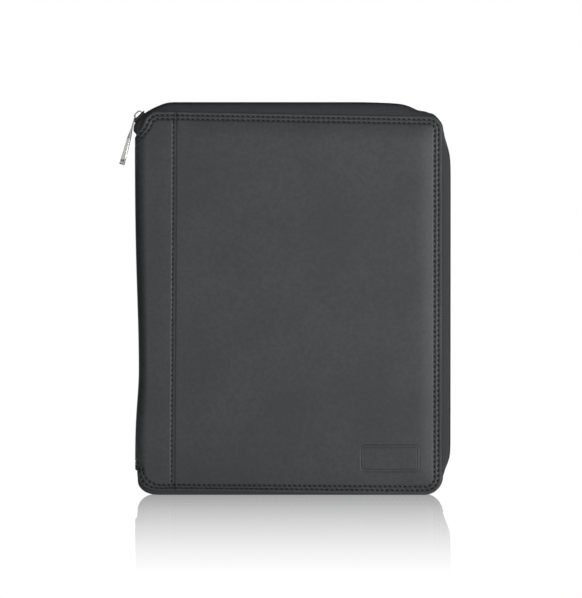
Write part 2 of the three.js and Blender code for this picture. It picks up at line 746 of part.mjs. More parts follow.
// Lower end: a straight start, a quarter turn up and the tail inside the spine's leather. The angle is
// measured as above, so the lower bend runs from half a turn (straight down) back to a quarter (the spine).
function lowSection(angle, shoulderOut, share) {
  const out = [-Math.sin(angle), Math.cos(angle)];
  const from = (distance) => [lowBendX + out[0] * distance, lowBendZ + out[1] * distance];
  return fullSection({
    base: from(THREE.MathUtils.lerp(spineCornerRadius + fitGap, lowBendRadius, share)),
    shoulder: from(lowBendRadius + shoulderOut),
    coil: from(lowBendRadius),
    outerY: THREE.MathUtils.lerp(flangeY, tailHalfWidth, share),
    arcEnd: THREE.MathUtils.lerp(groundArcEnd, tapeArcEnd, share),
  });
}

function lowEndRows() {
  const shoulderOut = groundShoulder - groundCoil;
  const rows = [];
  const startX = zipSplitX - zipSplitGap / 2;
  for (const x of [startX, (startX + lowBendX) / 2]) {
    const at = (bulge) => [x, leatherLow - bulge];
    rows.push(fullSection({
      base: at(fitGap),
      shoulder: at(groundShoulder),
      coil: at(groundCoil),
      outerY: flangeY,
      arcEnd: groundArcEnd,
    }));
  }
  const steps = 9;
  for (let k = 0; k <= steps; k += 1) {
    const turned = (k / steps) * lowBendEnd;
    const share = THREE.MathUtils.smoothstep(turned, lowBendEnd * 0.62, lowBendEnd);
    rows.push(lowSection(Math.PI - turned, shoulderOut * (1 - share), share));
  }
  const tailStart = spineLeatherLow - fitGap;
  for (const z of [tailStart + 1, tailStart + tailLength]) {
    const tail = [tailX, z];
    rows.push(fullSection({ base: tail, shoulder: tail, coil: tail, outerY: tailHalfWidth, arcEnd: tapeArcEnd }));
  }
  return rows;
}

const lowCentre = [lowBendX, lowBendZ];
const lowGap = join(
  middleGap(lowCentre, lowBendRadius, Math.PI, Math.PI - lowCoilStop),
  block(lowBendX - layerGap, zipSplitX + zipSplitGap, -tapeInnerEdge, tapeInnerEdge,
    leatherLow - groundCoil - tapeThickness * 3, leatherLow - groundCoil + tapeThickness * 3),
);
addPiece('zip_tape_end_low', cut(sheetSolid(lowEndRows(), tapeThickness), lowGap), 'tape');

const lowCoilLine = [
  { x: zipSplitX - zipSplitGap / 2, z: leatherLow - groundCoil, nx: 0, nz: -1 },
  ...bendLine(lowCentre, lowBendRadius, Math.PI, Math.PI - lowCoilStop, 10),
];
addPiece('front_coil_end_low', coilBand(lowCoilLine, -1), 'coil');
addPiece('back_coil_end_low', coilBand(lowCoilLine, 1), 'coil');

// The slider, drawn in its own frame: X along the zip towards the closed side, Z out from the folder, with
// the tape's middle at Z = 0

const slider = new THREE.Group();
slider.position.set(topBendX - topBendRadius * Math.sin(sliderAngle), 0,
  topBendZ + topBendRadius * Math.cos(sliderAngle));
slider.rotation.y = -sliderAngle;
folder.add(slider);

const plateTop = channelTop + sliderPlate;

function sliderBody() {
  const top = block(-sliderNose, sliderRear, -sliderHalfWidth, sliderHalfWidth, channelTop, plateTop);
  const flanges = [-1, 1].map((side) => {
    const ys = [side * sliderHalfWidth, side * (sliderHalfWidth - flangeWidth)].sort((a, b) => a - b);
    return block(-sliderNose, sliderRear, ys[0], ys[1], slotTop, channelTop + layerGap);
  });
  const bottom = block(-sliderNose, sliderRear, -sliderHalfWidth, sliderHalfWidth, channelBottom - sliderPlate,
    channelBottom);
  const post = block(-sliderNose + fitGap, -sliderNose + fitGap + postLength, -postHalfWidth, postHalfWidth,
    channelBottom - layerGap, channelTop + layerGap);
  const whole = join(top, ...flanges, bottom, post);

  const plan = new THREE.Shape();
  const radius = 2;
  plan.moveTo(-sliderNose + radius, -sliderHalfWidth);
  plan.lineTo(0, -sliderHalfWidth);
  plan.quadraticCurveTo(sliderRear - radius, -sliderHalfWidth, sliderRear - radius / 2, -sliderRearHalfWidth);
  plan.quadraticCurveTo(sliderRear, -sliderRearHalfWidth + radius / 2, sliderRear, -sliderRearHalfWidth + radius);
  plan.lineTo(sliderRear, sliderRearHalfWidth - radius);
  plan.quadraticCurveTo(sliderRear, sliderRearHalfWidth - radius / 2, sliderRear - radius / 2, sliderRearHalfWidth);
  plan.quadraticCurveTo(sliderRear - radius, sliderHalfWidth, 0, sliderHalfWidth);
  plan.lineTo(-sliderNose + radius, sliderHalfWidth);
  plan.quadraticCurveTo(-sliderNose, sliderHalfWidth, -sliderNose, sliderHalfWidth - radius);
  plan.lineTo(-sliderNose, -sliderHalfWidth + radius);
  plan.quadraticCurveTo(-sliderNose, -sliderHalfWidth, -sliderNose + radius, -sliderHalfWidth);
  const shaped = common(whole, prismAlongZ(plan, channelBottom - 2 * sliderPlate, plateTop + sliderPlate, 4));

  const side = polygon([
    [-sliderNose + sliderNoseSlope, plateTop],
    [-sliderNose, plateTop - sliderNoseDrop],
    [-sliderNose - sliderNoseSlope, plateTop - sliderNoseDrop],
    [-sliderNose - sliderNoseSlope, plateTop + sliderPlate],
    [-sliderNose + sliderNoseSlope, plateTop + sliderPlate],
  ]);
  return cut(shaped, prismAlongY(side, -closedThickness, closedThickness));
}
addPiece('slider_body', sliderBody(), 'darkMetal', slider);

const bailFoot = -sliderNose + sliderNoseSlope;

function sliderBail() {
  const foot = plateTop + fitGap;
  const top = plateTop + bailOpening + bailBar;
  const outer = new THREE.Shape();
  const radius = bailBar * 1.3;
  outer.moveTo(bailFoot, foot);
  outer.lineTo(bailFoot + bailBar, foot);
  outer.lineTo(bailFoot + bailBar, top - bailBar);
  outer.lineTo(bailFoot + bailLength - bailBar, top - bailBar);
  outer.lineTo(bailFoot + bailLength - bailBar, foot);
  outer.lineTo(bailFoot + bailLength, foot);
  outer.lineTo(bailFoot + bailLength, top - radius);
  outer.absarc(bailFoot + bailLength - radius, top - radius, radius, 0, Math.PI / 2);
  outer.lineTo(bailFoot + radius, top);
  outer.absarc(bailFoot + radius, top - radius, radius, Math.PI / 2, Math.PI);
  return prismAlongY(outer, -bailHalfWidth, bailHalfWidth, 4);
}
addPiece('slider_bail', sliderBail(), 'silver', slider);

// The pull hangs from its crossbar under the bail. In its own frame it hangs down along Z from the crossbar,
// and its blade turns to face the front.

const pull = new THREE.Group();
const pullPivotX = bailFoot + bailBar + pullEyeBar + fitGap;
const pullPivotZ = plateTop + bailOpening - pullEyeBar - fitGap / 2;
pull.position.set(pullPivotX, 0, pullPivotZ);
pull.rotation.y = sliderAngle + pullHang;
slider.add(pull);

function pullEye() {
  const frame = roundedRectangle(-pullEyeHalfWidth, pullEyeHalfWidth, -pullEyeHoleLength - pullEyeBridge,
    pullEyeBar, pullEyeBar);
  const hole = pullEyeHalfWidth - pullCheekWidth;
  frame.holes.push(new THREE.Path(roundedRectangle(-hole, hole, -pullEyeHoleLength, -pullEyeBar,
    pullEyeBar * 0.8).getPoints(3)));
  const plate = new THREE.ExtrudeGeometry(frame, { depth: 2 * pullEyeBar, bevelEnabled: false, curveSegments: 4 });
  return plate.rotateX(Math.PI / 2).rotateZ(Math.PI / 2).translate(-pullEyeBar, 0, 0);
}

// Blade rings: the width grows and the blade turns about its length, from the eye to the square end
function pullBlade() {
  const rings = [];
  const from = pullEyeHoleLength + pullEyeBar;
  const steps = 12;
  for (let k = 0; k <= steps; k += 1) {
    const share = k / steps;
    const z = -THREE.MathUtils.lerp(from, pullLength, share);
    const halfWidth = THREE.MathUtils.lerp(pullNeckHalfWidth, pullEndHalfWidth, share);
    const half = THREE.MathUtils.lerp(pullEyeBar, pullThickness / 2, Math.min(share * 4, 1));
    const turn = pullTwist * THREE.MathUtils.smoothstep(share, 0.12, 0.5);
    const chamfer = half * 0.5;
    const ring = [
      [-half, -halfWidth + chamfer], [-half + chamfer, -halfWidth], [half - chamfer, -halfWidth],
      [half, -halfWidth + chamfer], [half, halfWidth - chamfer], [half - chamfer, halfWidth],
      [-half + chamfer, halfWidth], [-half, halfWidth - chamfer],
    ].map(([x, y]) => new THREE.Vector3(x, y, z).applyAxisAngle(new THREE.Vector3(0, 0, 1), turn));
    rings.push(ring);
  }
  return loftSolid(rings);
}
addPiece('pull_tab', join(pullEye(), pullBlade()), 'silver', pull);

// The origin goes under the middle of the folder with its pull
folder.updateMatrixWorld(true);
const bounds = new THREE.Box3().setFromObject(folder, true);
folder.position.x = -(bounds.min.x + bounds.max.x) / 2;

export default folder;
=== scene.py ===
# %% [markdown]
# # A zip-around leather document folder
# The folder stands closed on its lower zip edge, with its spine at the left and its front cover to the
# camera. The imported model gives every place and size, and this lesson dresses it: waxed leather over foam,
# two rows of saddle stitch, a woven tape with a coil zip, a slider with its pull, and the pockets and linings
# inside. Every shape is a numpy grid, so a piece is a short formula in two parameters.

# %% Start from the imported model
import math

import bmesh
import bpy
import numpy as np
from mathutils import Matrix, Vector
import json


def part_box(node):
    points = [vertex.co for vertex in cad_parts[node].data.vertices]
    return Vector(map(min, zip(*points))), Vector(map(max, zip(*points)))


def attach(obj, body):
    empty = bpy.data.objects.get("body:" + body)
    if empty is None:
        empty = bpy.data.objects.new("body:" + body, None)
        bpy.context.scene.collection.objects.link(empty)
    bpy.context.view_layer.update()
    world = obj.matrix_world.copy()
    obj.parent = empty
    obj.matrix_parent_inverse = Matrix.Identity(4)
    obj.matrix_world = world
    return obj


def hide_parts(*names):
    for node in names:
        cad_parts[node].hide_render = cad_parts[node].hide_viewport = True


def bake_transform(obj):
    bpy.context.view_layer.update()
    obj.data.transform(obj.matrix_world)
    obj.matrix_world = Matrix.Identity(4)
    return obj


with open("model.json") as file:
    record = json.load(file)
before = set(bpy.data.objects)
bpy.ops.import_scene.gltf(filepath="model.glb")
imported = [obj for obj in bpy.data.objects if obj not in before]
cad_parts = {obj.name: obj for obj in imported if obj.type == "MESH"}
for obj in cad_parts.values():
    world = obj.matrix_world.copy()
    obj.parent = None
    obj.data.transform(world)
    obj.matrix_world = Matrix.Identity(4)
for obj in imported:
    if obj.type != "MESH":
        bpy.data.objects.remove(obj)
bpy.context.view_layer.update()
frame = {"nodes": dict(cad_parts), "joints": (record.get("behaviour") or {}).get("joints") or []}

# %% [markdown]
# ## Millimetres from the spine
# A leather worker measures a cover from its spine and from the table. So the points below are in
# millimetres, with x = 0 on the spine's outer face, y = 0 half way through the folder and z = 0 on the
# ground. One function takes them to Blender's metres in the frame of the model.

# %% Places in millimetres
SPINE_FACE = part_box("spine_leather")[0].x


def in_row(points):
    """Metres in the model's frame: millimetres over a thousand, moved along x to the spine's face."""
    moved = np.asarray(points, float) / 1000
    moved[..., 0] += SPINE_FACE
    return moved


def box_mm(node):
    """Lowest and highest corner of a node of the model, in millimetres from the spine."""
    low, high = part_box(node)
    shift = Vector((SPINE_FACE, 0, 0))
    return np.array(low - shift) * 1000, np.array(high - shift) * 1000


def joint_mm(name):
    """A joint's point, in millimetres from the spine."""
    joint = next(joint for joint in frame["joints"] if joint["name"] == name)
    return (np.array(joint["pos_m"]) - np.array((SPINE_FACE, 0, 0))) * 1000


HALF = box_mm("spine_leather")[1][1]
COVER_LOW = box_mm("front_panel_leather")[0][2]
COVER_HIGH = box_mm("front_panel_leather")[1][2]
COVER_RIGHT = box_mm("front_panel_leather")[1][0]
print("half thickness", HALF, "cover", COVER_LOW, COVER_HIGH, COVER_RIGHT)

# %% [markdown]
# ## The camera
# The photograph looks almost straight at the front cover, from a long way off and a little above its middle.
# A long lens at four metres gives the same flat perspective. The height of the picture in millimetres at the
# folder's middle sets the focal length.

# %% Camera
PIXEL = 0.868
PICTURE_WIDTH = 582
PICTURE_HEIGHT = 598
SPINE_PIXEL = 136
GROUND_PIXEL = 494.5
CAMERA_DISTANCE = 4000
CAMERA_RISE = math.radians(1.5)

middle = in_row([(PICTURE_WIDTH / 2 - SPINE_PIXEL) * PIXEL, 0, (GROUND_PIXEL - PICTURE_HEIGHT / 2) * PIXEL])
camera_data = bpy.data.cameras.new("camera")
camera_data.sensor_width = 36
camera_data.lens = camera_data.sensor_width * CAMERA_DISTANCE / (PICTURE_HEIGHT * PIXEL)
camera = bpy.data.objects.new("camera", camera_data)
bpy.context.scene.collection.objects.link(camera)
bpy.context.scene.camera = camera
back_off = Vector((0, -math.cos(CAMERA_RISE), math.sin(CAMERA_RISE)))
camera.location = Vector(middle) + back_off * CAMERA_DISTANCE / 1000
camera.rotation_euler = (-back_off).to_track_quat("-Z", "Y").to_euler()
print("lens, mm", round(camera_data.lens, 1))

# %% [markdown]
# ## Tools for colours and materials
# A dyer writes a colour as it looks, so each colour here is an sRGB hex value, and one function makes it
# linear for the shader. One more function adds a node with its settings, its values and its links.

# %% Colour and node helpers
def linear(colour):
    """Linear RGBA of an sRGB hex colour: each channel over 255, then the sRGB curve undone."""
    channels = np.array([int(colour[i:i + 2], 16) for i in (1, 3, 5)]) / 255
    curve = np.where(channels <= 0.04045, channels / 12.92, ((channels + 0.055) / 1.055) ** 2.4)
    return (*curve.tolist(), 1.0)


def add_node(tree, kind, inputs=(), **settings):
    """Adds a node. The inputs are a dict by name or number, or a list of the first ones in order: a socket
    among them is linked, and any other value is set."""
    made = tree.nodes.new("ShaderNode" + kind)
    for name, value in settings.items():
        setattr(made, name, value)
    for socket, value in (inputs if isinstance(inputs, dict) else dict(enumerate(inputs))).items():
        if isinstance(value, bpy.types.NodeSocket):
            tree.links.new(value, made.inputs[socket])
        else:
            made.inputs[socket].default_value = value
    return made


def empty_tree(owner):
    """The cleared node tree of a new material or world."""
    owner.use_nodes = True
    owner.node_tree.nodes.clear()
    return owner.node_tree


def new_material(name, **surface):
    """A material with one Principled BSDF, whose sockets take the given values; returns it with its tree."""
    made = bpy.data.materials.new(name)
    tree = empty_tree(made)
    shader = add_node(tree, "BsdfPrincipled", {key.replace("_", " "): surface[key] for key in surface})
    add_node(tree, "OutputMaterial", {"Surface": shader.outputs[0]})
    return made, tree, shader


def finish_shader(tree, shader, colour, relief):
    """Links a colour and a relief to the shader."""
    tree.links.new(colour, shader.inputs["Base Color"])
    tree.links.new(relief, shader.inputs["Normal"])


def per_mm(size):
    """Texture scale for a feature of this size in millimetres, on coordinates in metres."""
    return 1000 / size


# %% [markdown]
# ## Waxed leather
# The covers are full-grain cowhide, drum-dyed black and finished with wax. Wax fills the grain, so the hide
# looks almost smooth: a matte dark grey with a soft, wide sheen, clouded by hand-wide patches where the wax
# lies thicker, and a few pin-head specks of bloom. Noise gives the clouds, a fine noise and a fine cell
# pattern give the grain of one to three millimetres, and a coarser cell pattern gives the specks.

# %% Leather materials
PRESS_CENTRE = (220.5, 32)
PRESS_HALF = (25.5, 11.7)
PRESS_RADIUS = 4
PRESS_LINES = ((0, 0.75), (2.4, 0.5))
CLOUD, GRAIN, PORE, CREASE, BLOOM = 55, 2.6, 1.5, 22, 9
BLOOM_SHARE = 0.14


def frame_share(tree, place):
    """1 on the two lines of a pressed frame, by the distance from a rounded rectangle: the length of what
    lies past its straight sides, or, between them, the larger of the two gaps, which is negative there."""
    centre = (SPINE_FACE + PRESS_CENTRE[0] / 1000, 0, PRESS_CENTRE[1] / 1000)
    half = [(size - PRESS_RADIUS) / 1000 for size in PRESS_HALF]
    past = place
    for operation, *value in (("SUBTRACT", centre), ("MULTIPLY", (1, 0, 1)), ("ABSOLUTE",),
                              ("SUBTRACT", (half[0], 0, half[1]))):
        past = add_node(tree, "VectorMath", [past, *value], operation=operation).outputs[0]
    beyond = add_node(tree, "VectorMath", [past, (0, 0, 0)], operation="MAXIMUM").outputs[0]
    outside = add_node(tree, "VectorMath", [beyond], operation="LENGTH").outputs["Value"]
    sides = add_node(tree, "SeparateXYZ", [past]).outputs
    most = add_node(tree, "Math", [sides[0], sides[2]], operation="MAXIMUM").outputs[0]
    inside = add_node(tree, "Math", [most, 0.0], operation="MINIMUM").outputs[0]
    distance = add_node(tree, "Math", [outside, inside], operation="ADD").outputs[0]
    lines = []
    for offset, width in PRESS_LINES:
        shifted = add_node(tree, "Math", [distance, (PRESS_RADIUS - offset) / 1000], operation="SUBTRACT")
        gap = add_node(tree, "Math", [shifted.outputs[0]], operation="ABSOLUTE").outputs[0]
        inputs = {"Value": gap, "From Min": 0.0, "From Max": width / 1000, "To Min": 1.0, "To Max": 0.0}
        lines.append(add_node(tree, "MapRange", inputs, interpolation_type="SMOOTHSTEP").outputs[0])
    return add_node(tree, "Math", lines, operation="MAXIMUM").outputs[0]


def waxed_leather(name, dark, light, roughness, pressed=False):
    """Dyed and waxed cowhide between two shades, with clouds, grain, long faint creases and specks. A pressed
    one carries a plain frame, pressed into the front cover's lower corner with a warm die; the colour of its
    lines goes toward near black, partly the die's mark and partly painted shade in the pressed grooves."""
    made, tree, shader = new_material(name, Roughness=roughness)
    place = add_node(tree, "TexCoord").outputs["Object"]
    clouds = add_node(tree, "TexNoise", {"Vector": place, "Scale": per_mm(CLOUD), "Detail": 3.0}).outputs[0]
    fine = add_node(tree, "TexNoise", {"Vector": place, "Scale": per_mm(GRAIN), "Detail": 2.0}).outputs[0]
    share = add_node(tree, "Math", [clouds, fine], operation="MULTIPLY").outputs[0]
    spread = add_node(tree, "MapRange", {"Value": share, "From Min": 0.15, "From Max": 0.38}).outputs[0]
    shades = {"Factor": spread, "A": linear(dark), "B": linear(light)}
    dyed = add_node(tree, "Mix", shades, data_type="RGBA").outputs["Result"]
    cells = add_node(tree, "TexVoronoi", {"Vector": place, "Scale": per_mm(BLOOM)}).outputs
    bloom = add_node(tree, "MapRange", {"Value": cells["Distance"], "From Min": 0.03, "From Max": 0.055,
                                        "To Min": 0.5, "To Max": 0.0}).outputs[0]
    chosen = add_node(tree, "SeparateColor", {"Color": cells["Color"]}).outputs[0]
    some = add_node(tree, "Math", [chosen, 1 - BLOOM_SHARE], operation="GREATER_THAN").outputs[0]
    speck = add_node(tree, "Math", [bloom, some], operation="MULTIPLY").outputs[0]
    flecks = {"Factor": speck, "A": dyed, "B": linear("#7A7B7C")}
    colour = add_node(tree, "Mix", flecks, data_type="RGBA").outputs["Result"]
    grain = add_node(tree, "TexVoronoi", {"Vector": place, "Scale": per_mm(PORE)}, feature="SMOOTH_F1")
    creases = add_node(tree, "TexNoise", {"Vector": place, "Scale": per_mm(CREASE), "Detail": 4.0}).outputs[0]
    deep = add_node(tree, "Bump", {"Height": creases, "Strength": 0.12, "Distance": 0.0012}).outputs[0]
    relief = add_node(tree, "Bump", {"Height": grain.outputs["Distance"], "Strength": 0.1,
                                     "Distance": 0.0002, "Normal": deep}).outputs[0]
    if pressed:
        lines = frame_share(tree, place)
        level = add_node(tree, "Math", [1.0, lines], operation="SUBTRACT").outputs[0]
        relief = add_node(tree, "Bump", {"Height": level, "Strength": 0.75, "Distance": 0.0003,
                                         "Normal": relief}).outputs[0]
        # The frame's lines are drawn deeper in tone: partly the warm die's mark, partly painted shade in the
        # grooves.
        die_mark_and_shade = add_node(tree, "Math", [lines, 0.35], operation="MULTIPLY").outputs[0]
        shades = {"Factor": die_mark_and_shade, "A": colour, "B": linear("#1D1E1F")}
        colour = add_node(tree, "Mix", shades, data_type="RGBA").outputs["Result"]
    finish_shader(tree, shader, colour, relief)
    return made


cover_leather = waxed_leather("waxed_cowhide", "#3A3D3E", "#444748", 0.5)
pressed_leather = waxed_leather("waxed_cowhide_pressed", "#3A3D3E", "#444748", 0.5, pressed=True)
loop_leather = waxed_leather("waxed_cowhide_loop", "#2E2F30", "#363738", 0.55)

# %% [markdown]
# ## Thread, tape and teeth
# The thread is bonded nylon, black and faintly glossy. The zip tape is woven polyester: ribs run along it,
# about 0.9 mm apart, and it looks softer and darker than the leather. Its pattern follows the piece's own UV
# map, whose unit is ten millimetres along and across. The teeth are a nylon coil with a satin skin.

# %% Thread, tape and tooth materials
UV_UNIT = 10
TAPE_RIB, TAPE_WEFT = 0.9, 1.3
TWILL = 0.8


def woven(name, dark, light, warp, weft, depth):
    """Woven cloth: ribs along the tape crossed by finer weft lines, both from the UV map."""
    made, tree, shader = new_material(name, Roughness=0.85, Sheen_Weight=0.15, Sheen_Roughness=0.4)
    shader.inputs["Sheen Tint"].default_value = linear("#9A9CA0")
    place = add_node(tree, "UVMap", uv_map="cloth").outputs[0]
    waves = []
    for direction, pitch in (("Y", warp), ("X", weft)):
        scale = UV_UNIT / pitch / 20 * 2 * math.pi
        inputs = {"Vector": place, "Scale": scale, "Distortion": 0.6, "Detail": 1.0}
        waves.append(add_node(tree, "TexWave", inputs, bands_direction=direction).outputs[1])
    cross = add_node(tree, "Math", waves, operation="MULTIPLY").outputs[0]
    shades = {"Factor": cross, "A": linear(dark), "B": linear(light)}
    colour = add_node(tree, "Mix", shades, data_type="RGBA").outputs["Result"]
    relief = add_node(tree, "Bump", {"Height": cross, "Strength": 0.6, "Distance": depth / 1000}).outputs[0]
    finish_shader(tree, shader, colour, relief)
    return made


zip_cloth = woven("woven_polyester_tape", "#333436", "#4A4B4D", TAPE_RIB, TAPE_WEFT, 0.15)
lining_cloth = woven("woven_lining_twill", "#202123", "#303134", TWILL, TWILL, 0.1)


def plain_surface(name, colour, light, grit, roughness, **surface):
    """One finish with a fine mottle of the given grit size, for thread, plastic, metal, foam and board."""
    made, tree, shader = new_material(name, Roughness=roughness, **surface)
    place = add_node(tree, "TexCoord").outputs["Object"]
    mottle = add_node(tree, "TexNoise", {"Vector": place, "Scale": per_mm(grit), "Detail": 3.0}).outputs[0]
    shades = {"Factor": mottle, "A": linear(colour), "B": linear(light)}
    mottled = add_node(tree, "Mix", shades, data_type="RGBA").outputs["Result"]
    relief = add_node(tree, "Bump", {"Height": mottle, "Strength": 0.25, "Distance": grit / 10000}).outputs[0]
    finish_shader(tree, shader, mottled, relief)
    return made


thread_finish = plain_surface("bonded_nylon_thread", "#060607", "#101112", 0.4, 0.6,
                              Specular_IOR_Level=0.25)
tooth_finish = plain_surface("nylon_coil_teeth", "#030304", "#08080A", 0.8, 0.5,
                             Specular_IOR_Level=0.2)
suede_finish = plain_surface("microfibre_suede", "#333335", "#414143", 1.2, 0.95, Sheen_Weight=0.4,
                             Sheen_Roughness=0.5)
# Black edge paint on the leather's cut edges; on the band it also covers a strip of the face beside the free
# edge as a painted shade line.
edge_paint_and_shade = plain_surface("black_edge_paint_and_shade", "#0E0F10", "#17181A", 0.6, 0.65)
foam_finish = plain_surface("open_cell_foam", "#7E7E7A", "#96968F", 1.5, 0.95)
board_finish = plain_surface("grey_board", "#8F8473", "#A69A86", 2.5, 0.9)
slider_finish = plain_surface("lacquered_zinc", "#2B2C2E", "#37383A", 1.0, 0.38)
nickel_finish = plain_surface("nickel_plated_zinc", "#B9B9B8", "#C9C9C8", 3.0, 0.22, Metallic=1.0)

# %% [markdown]
# ## Grids into meshes
# A sheet of leather or cloth is two grids of points, its outer and its inner face, joined round their rim.
# A thread stitch or a zip tooth is one small tube, stamped hundreds of times. Both become one array of
# corners and one array of quads, turned so that the enclosed volume is positive.

# %% Grids of quads
def stacked(*columns):
    """Numbers and arrays side by side on a new last axis."""
    return np.stack(np.broadcast_arrays(*columns), -1)


def grid_quads(rows, columns, loop=False):
    """Quads of a grid of points numbered row by row; with loop, the last row joins the first."""
    i, j = np.meshgrid(np.arange(rows if loop else rows - 1), np.arange(columns - 1), indexing="ij")
    near, far = i * columns + j, (i + 1) % rows * columns + j
    return stacked(near, far, far + 1, near + 1).reshape(-1, 4)


def sheet_quads(rows, columns, loop=False):
    """Quads of a closed sheet: the outer grid, the inner grid after it, and the rim between the two."""
    outer = grid_quads(rows, columns, loop)
    count = rows * columns
    number = np.arange(count).reshape(rows, columns)
    if loop:
        sides = [np.append(number[:, 0], number[0, 0]), np.append(number[:, -1], number[0, -1])[::-1]]
    else:
        sides = [np.concatenate([number[:, 0], number[-1, 1:], number[-2::-1, -1], number[0, -2::-1]])]
    rims = [stacked(side[1:], side[:-1], side[:-1] + count, side[1:] + count) for side in sides]
    return np.concatenate([outer, outer[:, ::-1] + count, *rims])


def rim_faces(rows, columns, beside=0):
    """Numbers of the faces on an open sheet's rim, and of the outer faces beside its last row of points."""
    count = (rows - 1) * (columns - 1)
    total = 2 * count + 2 * (rows + columns) - 4
    return [*range(count - beside * (columns - 1), count), *range(2 * count, total)]

# %% [markdown]
# ## Grids into pieces
# Every piece goes through one function. It turns the faces outwards, moves the points to the model's frame,
# lays a cloth pattern where there is one, and smooths all but the sharp edges.

# %% Pieces
def facing_out(points, quads):
    """The quads, turned round if the volume they enclose comes out negative."""
    a, b, c, d = (points[quads[:, k]] for k in range(4))
    volume = np.einsum("ij,ij->i", a, np.cross(b, c) + np.cross(c, d)).sum()
    return quads if volume > 0 else quads[:, ::-1]


def add_piece(name, points, quads, material, slot, sharp=45, uv=None, merge=False, painted=None):
    """Makes the object of a piece, smooth up to the sharp angle. slot is not used. painted is
    another material and the numbers of the faces that take it."""
    points = np.asarray(points, float).reshape(-1, 3)
    mesh = bpy.data.meshes.new(name)
    mesh.from_pydata(in_row(points).tolist(), [], facing_out(points, quads).tolist())
    if uv is not None:
        layer = mesh.uv_layers.new(name="cloth")
        corner = np.zeros(len(mesh.loops), np.int32)
        mesh.loops.foreach_get("vertex_index", corner)
        layer.data.foreach_set("uv", (np.asarray(uv, float).reshape(-1, 2)[corner] / UV_UNIT).ravel())
    mesh.materials.append(material)
    if painted:
        mesh.materials.append(painted[0])
        for number in painted[1]:
            mesh.polygons[number].material_index = 1
    if merge:
        merge_points(mesh)
    mesh.validate()
    mesh.shade_smooth()
    mesh.set_sharp_from_angle(angle=math.radians(sharp))
    piece = bpy.data.objects.new(name, mesh)
    bpy.context.scene.collection.objects.link(piece)
    print(name, len(mesh.polygons), "faces")
    return piece


def merge_points(mesh, distance=2e-6):
    """Welds corners that lie together, such as those of a pole."""
    work = bmesh.new()
    work.from_mesh(mesh)
    bmesh.ops.remove_doubles(work, verts=work.verts, dist=distance)
    work.to_mesh(mesh)
    work.free()


def add_sheet(name, outer, inner, material, slot, loop=False, uv=None, **options):
    """A closed sheet between two grids of points of one shape."""
    quads = sheet_quads(*outer.shape[:2], loop)
    flat = None if uv is None else np.stack([uv, uv])
    return add_piece(name, np.stack([outer, inner]), quads, material, slot, uv=flat, **options)

# %% [markdown]
# ## The outline of the leather
# The maker cuts one pattern for both covers: square corners with small radii at the free edge, a sloping cut
# beside the zip's upper end and a full round below. The spine's band is cut in one with it and wraps round
# the spine, so the pattern is drawn flat, with s along the leather. On the cover s is the same as x, and past
# the rounded edge of the spine it goes on below zero.

# %% Outline of the pattern
BEND = 10.5
SPINE_WRAP = BEND * math.pi / 2 + HALF - BEND
SPINE_MIDDLE = BEND - SPINE_WRAP
PATTERN_STEP = 0.72
SMALLEST_RADIUS = 1.2
CORNERS = [(SPINE_MIDDLE, 308), (-3.3, 308.3), (6.3, 316.6), (9.5, 324.3), (15.2, COVER_HIGH),
           (COVER_RIGHT, COVER_HIGH), (COVER_RIGHT, COVER_LOW), (0, COVER_LOW), (0, 20.4), (SPINE_MIDDLE, 22)]
RADII = [0, 5, 9, 5, 9, 11.3, 14.5, 20.5, 1.2, 0]


def rounded_outline(inset):
    """The outline moved inwards by the inset. Each side moves along its own normal, neighbours meet, and each
    meeting becomes an arc, smaller by the inset where the outline turns inwards and larger where it turns
    out. Every inset has the same count of points, so that outlines can be joined into a grid."""
    corners = np.array(CORNERS, float)
    along = np.diff(corners, axis=0)
    length = np.linalg.norm(along, axis=1)
    along /= length[:, None]
    inward = stacked(along[:, 1], -along[:, 0])
    starts = corners[:-1] + inward * inset
    last = corners[-1] + inward[-1] * inset
    points, previous = [], starts[0]
    for k in range(1, len(along)):
        before, after = along[k - 1], along[k]
        cross = before[0] * after[1] - before[1] * after[0]
        gap = starts[k] - starts[k - 1]
        corner = starts[k - 1] + before * (gap[0] * after[1] - gap[1] * after[0]) / cross
        turn = math.atan2(cross, float(before @ after))
        side = 1 if turn < 0 else -1
        radius = max(RADII[k] - side * inset, SMALLEST_RADIUS)
        reach = radius * math.tan(abs(turn) / 2)
        start = corner - before * reach
        straight = max(2, round(length[k - 1] / PATTERN_STEP))
        points.append(previous + (start - previous) * np.linspace(0, 1, straight, endpoint=False)[:, None])
        round_steps = max(4, round(max(RADII[k], 6) * abs(turn) / PATTERN_STEP))
        centre = start + inward[k - 1] * radius * side
        angle = turn * np.linspace(0, 1, round_steps, endpoint=False)
        arm, cos, sin = start - centre, np.cos(angle), np.sin(angle)
        points.append(centre + stacked(arm[0] * cos - arm[1] * sin, arm[0] * sin + arm[1] * cos))
        previous = corner + after * reach
    straight = max(2, round(length[-1] / PATTERN_STEP))
    points.append(previous + (last - previous) * np.linspace(0, 1, straight)[:, None])
    return np.concatenate(points)


outline = rounded_outline(0)
print("outline points", len(outline))

# %% [markdown]
# ## Two rows of stitches
# Two rows of saddle stitch follow the edge, and one more holds the band's free edge down on the cover. A
# stitch is about 4.35 mm from the next, and each lies aslant, because the awl's blade is held at an angle.
# The rows are outlines with an inset, walked at an even pitch.

# %% Stitch rows
STITCH_PITCH = 4.35
OUTER_ROW = 3.0
INNER_ROW = 6.3
SEAM_ROW = 3.7
SEAM_X = box_mm("front_band_leather")[1][0] + 1
SEAM_LEAN = 0.0064
WALK_REACH = 0.8
COVER_MIDDLE = (COVER_LOW + COVER_HIGH) / 2


def band_edge(z):
    """Where the band's free edge lies on the cover at height z: it leans a little, as it was glued by eye."""
    return SEAM_X + (z - COVER_MIDDLE) * SEAM_LEAN


def travelled(path):
    """Distance along a path from its start, at each of its points."""
    return np.concatenate([[0], np.cumsum(np.linalg.norm(np.diff(path, axis=0), axis=1))])


def points_on(path, at):
    """Points of a path at the given distances from its start."""
    distance = travelled(path)
    return np.stack([np.interp(at, distance, column) for column in path.T], -1)


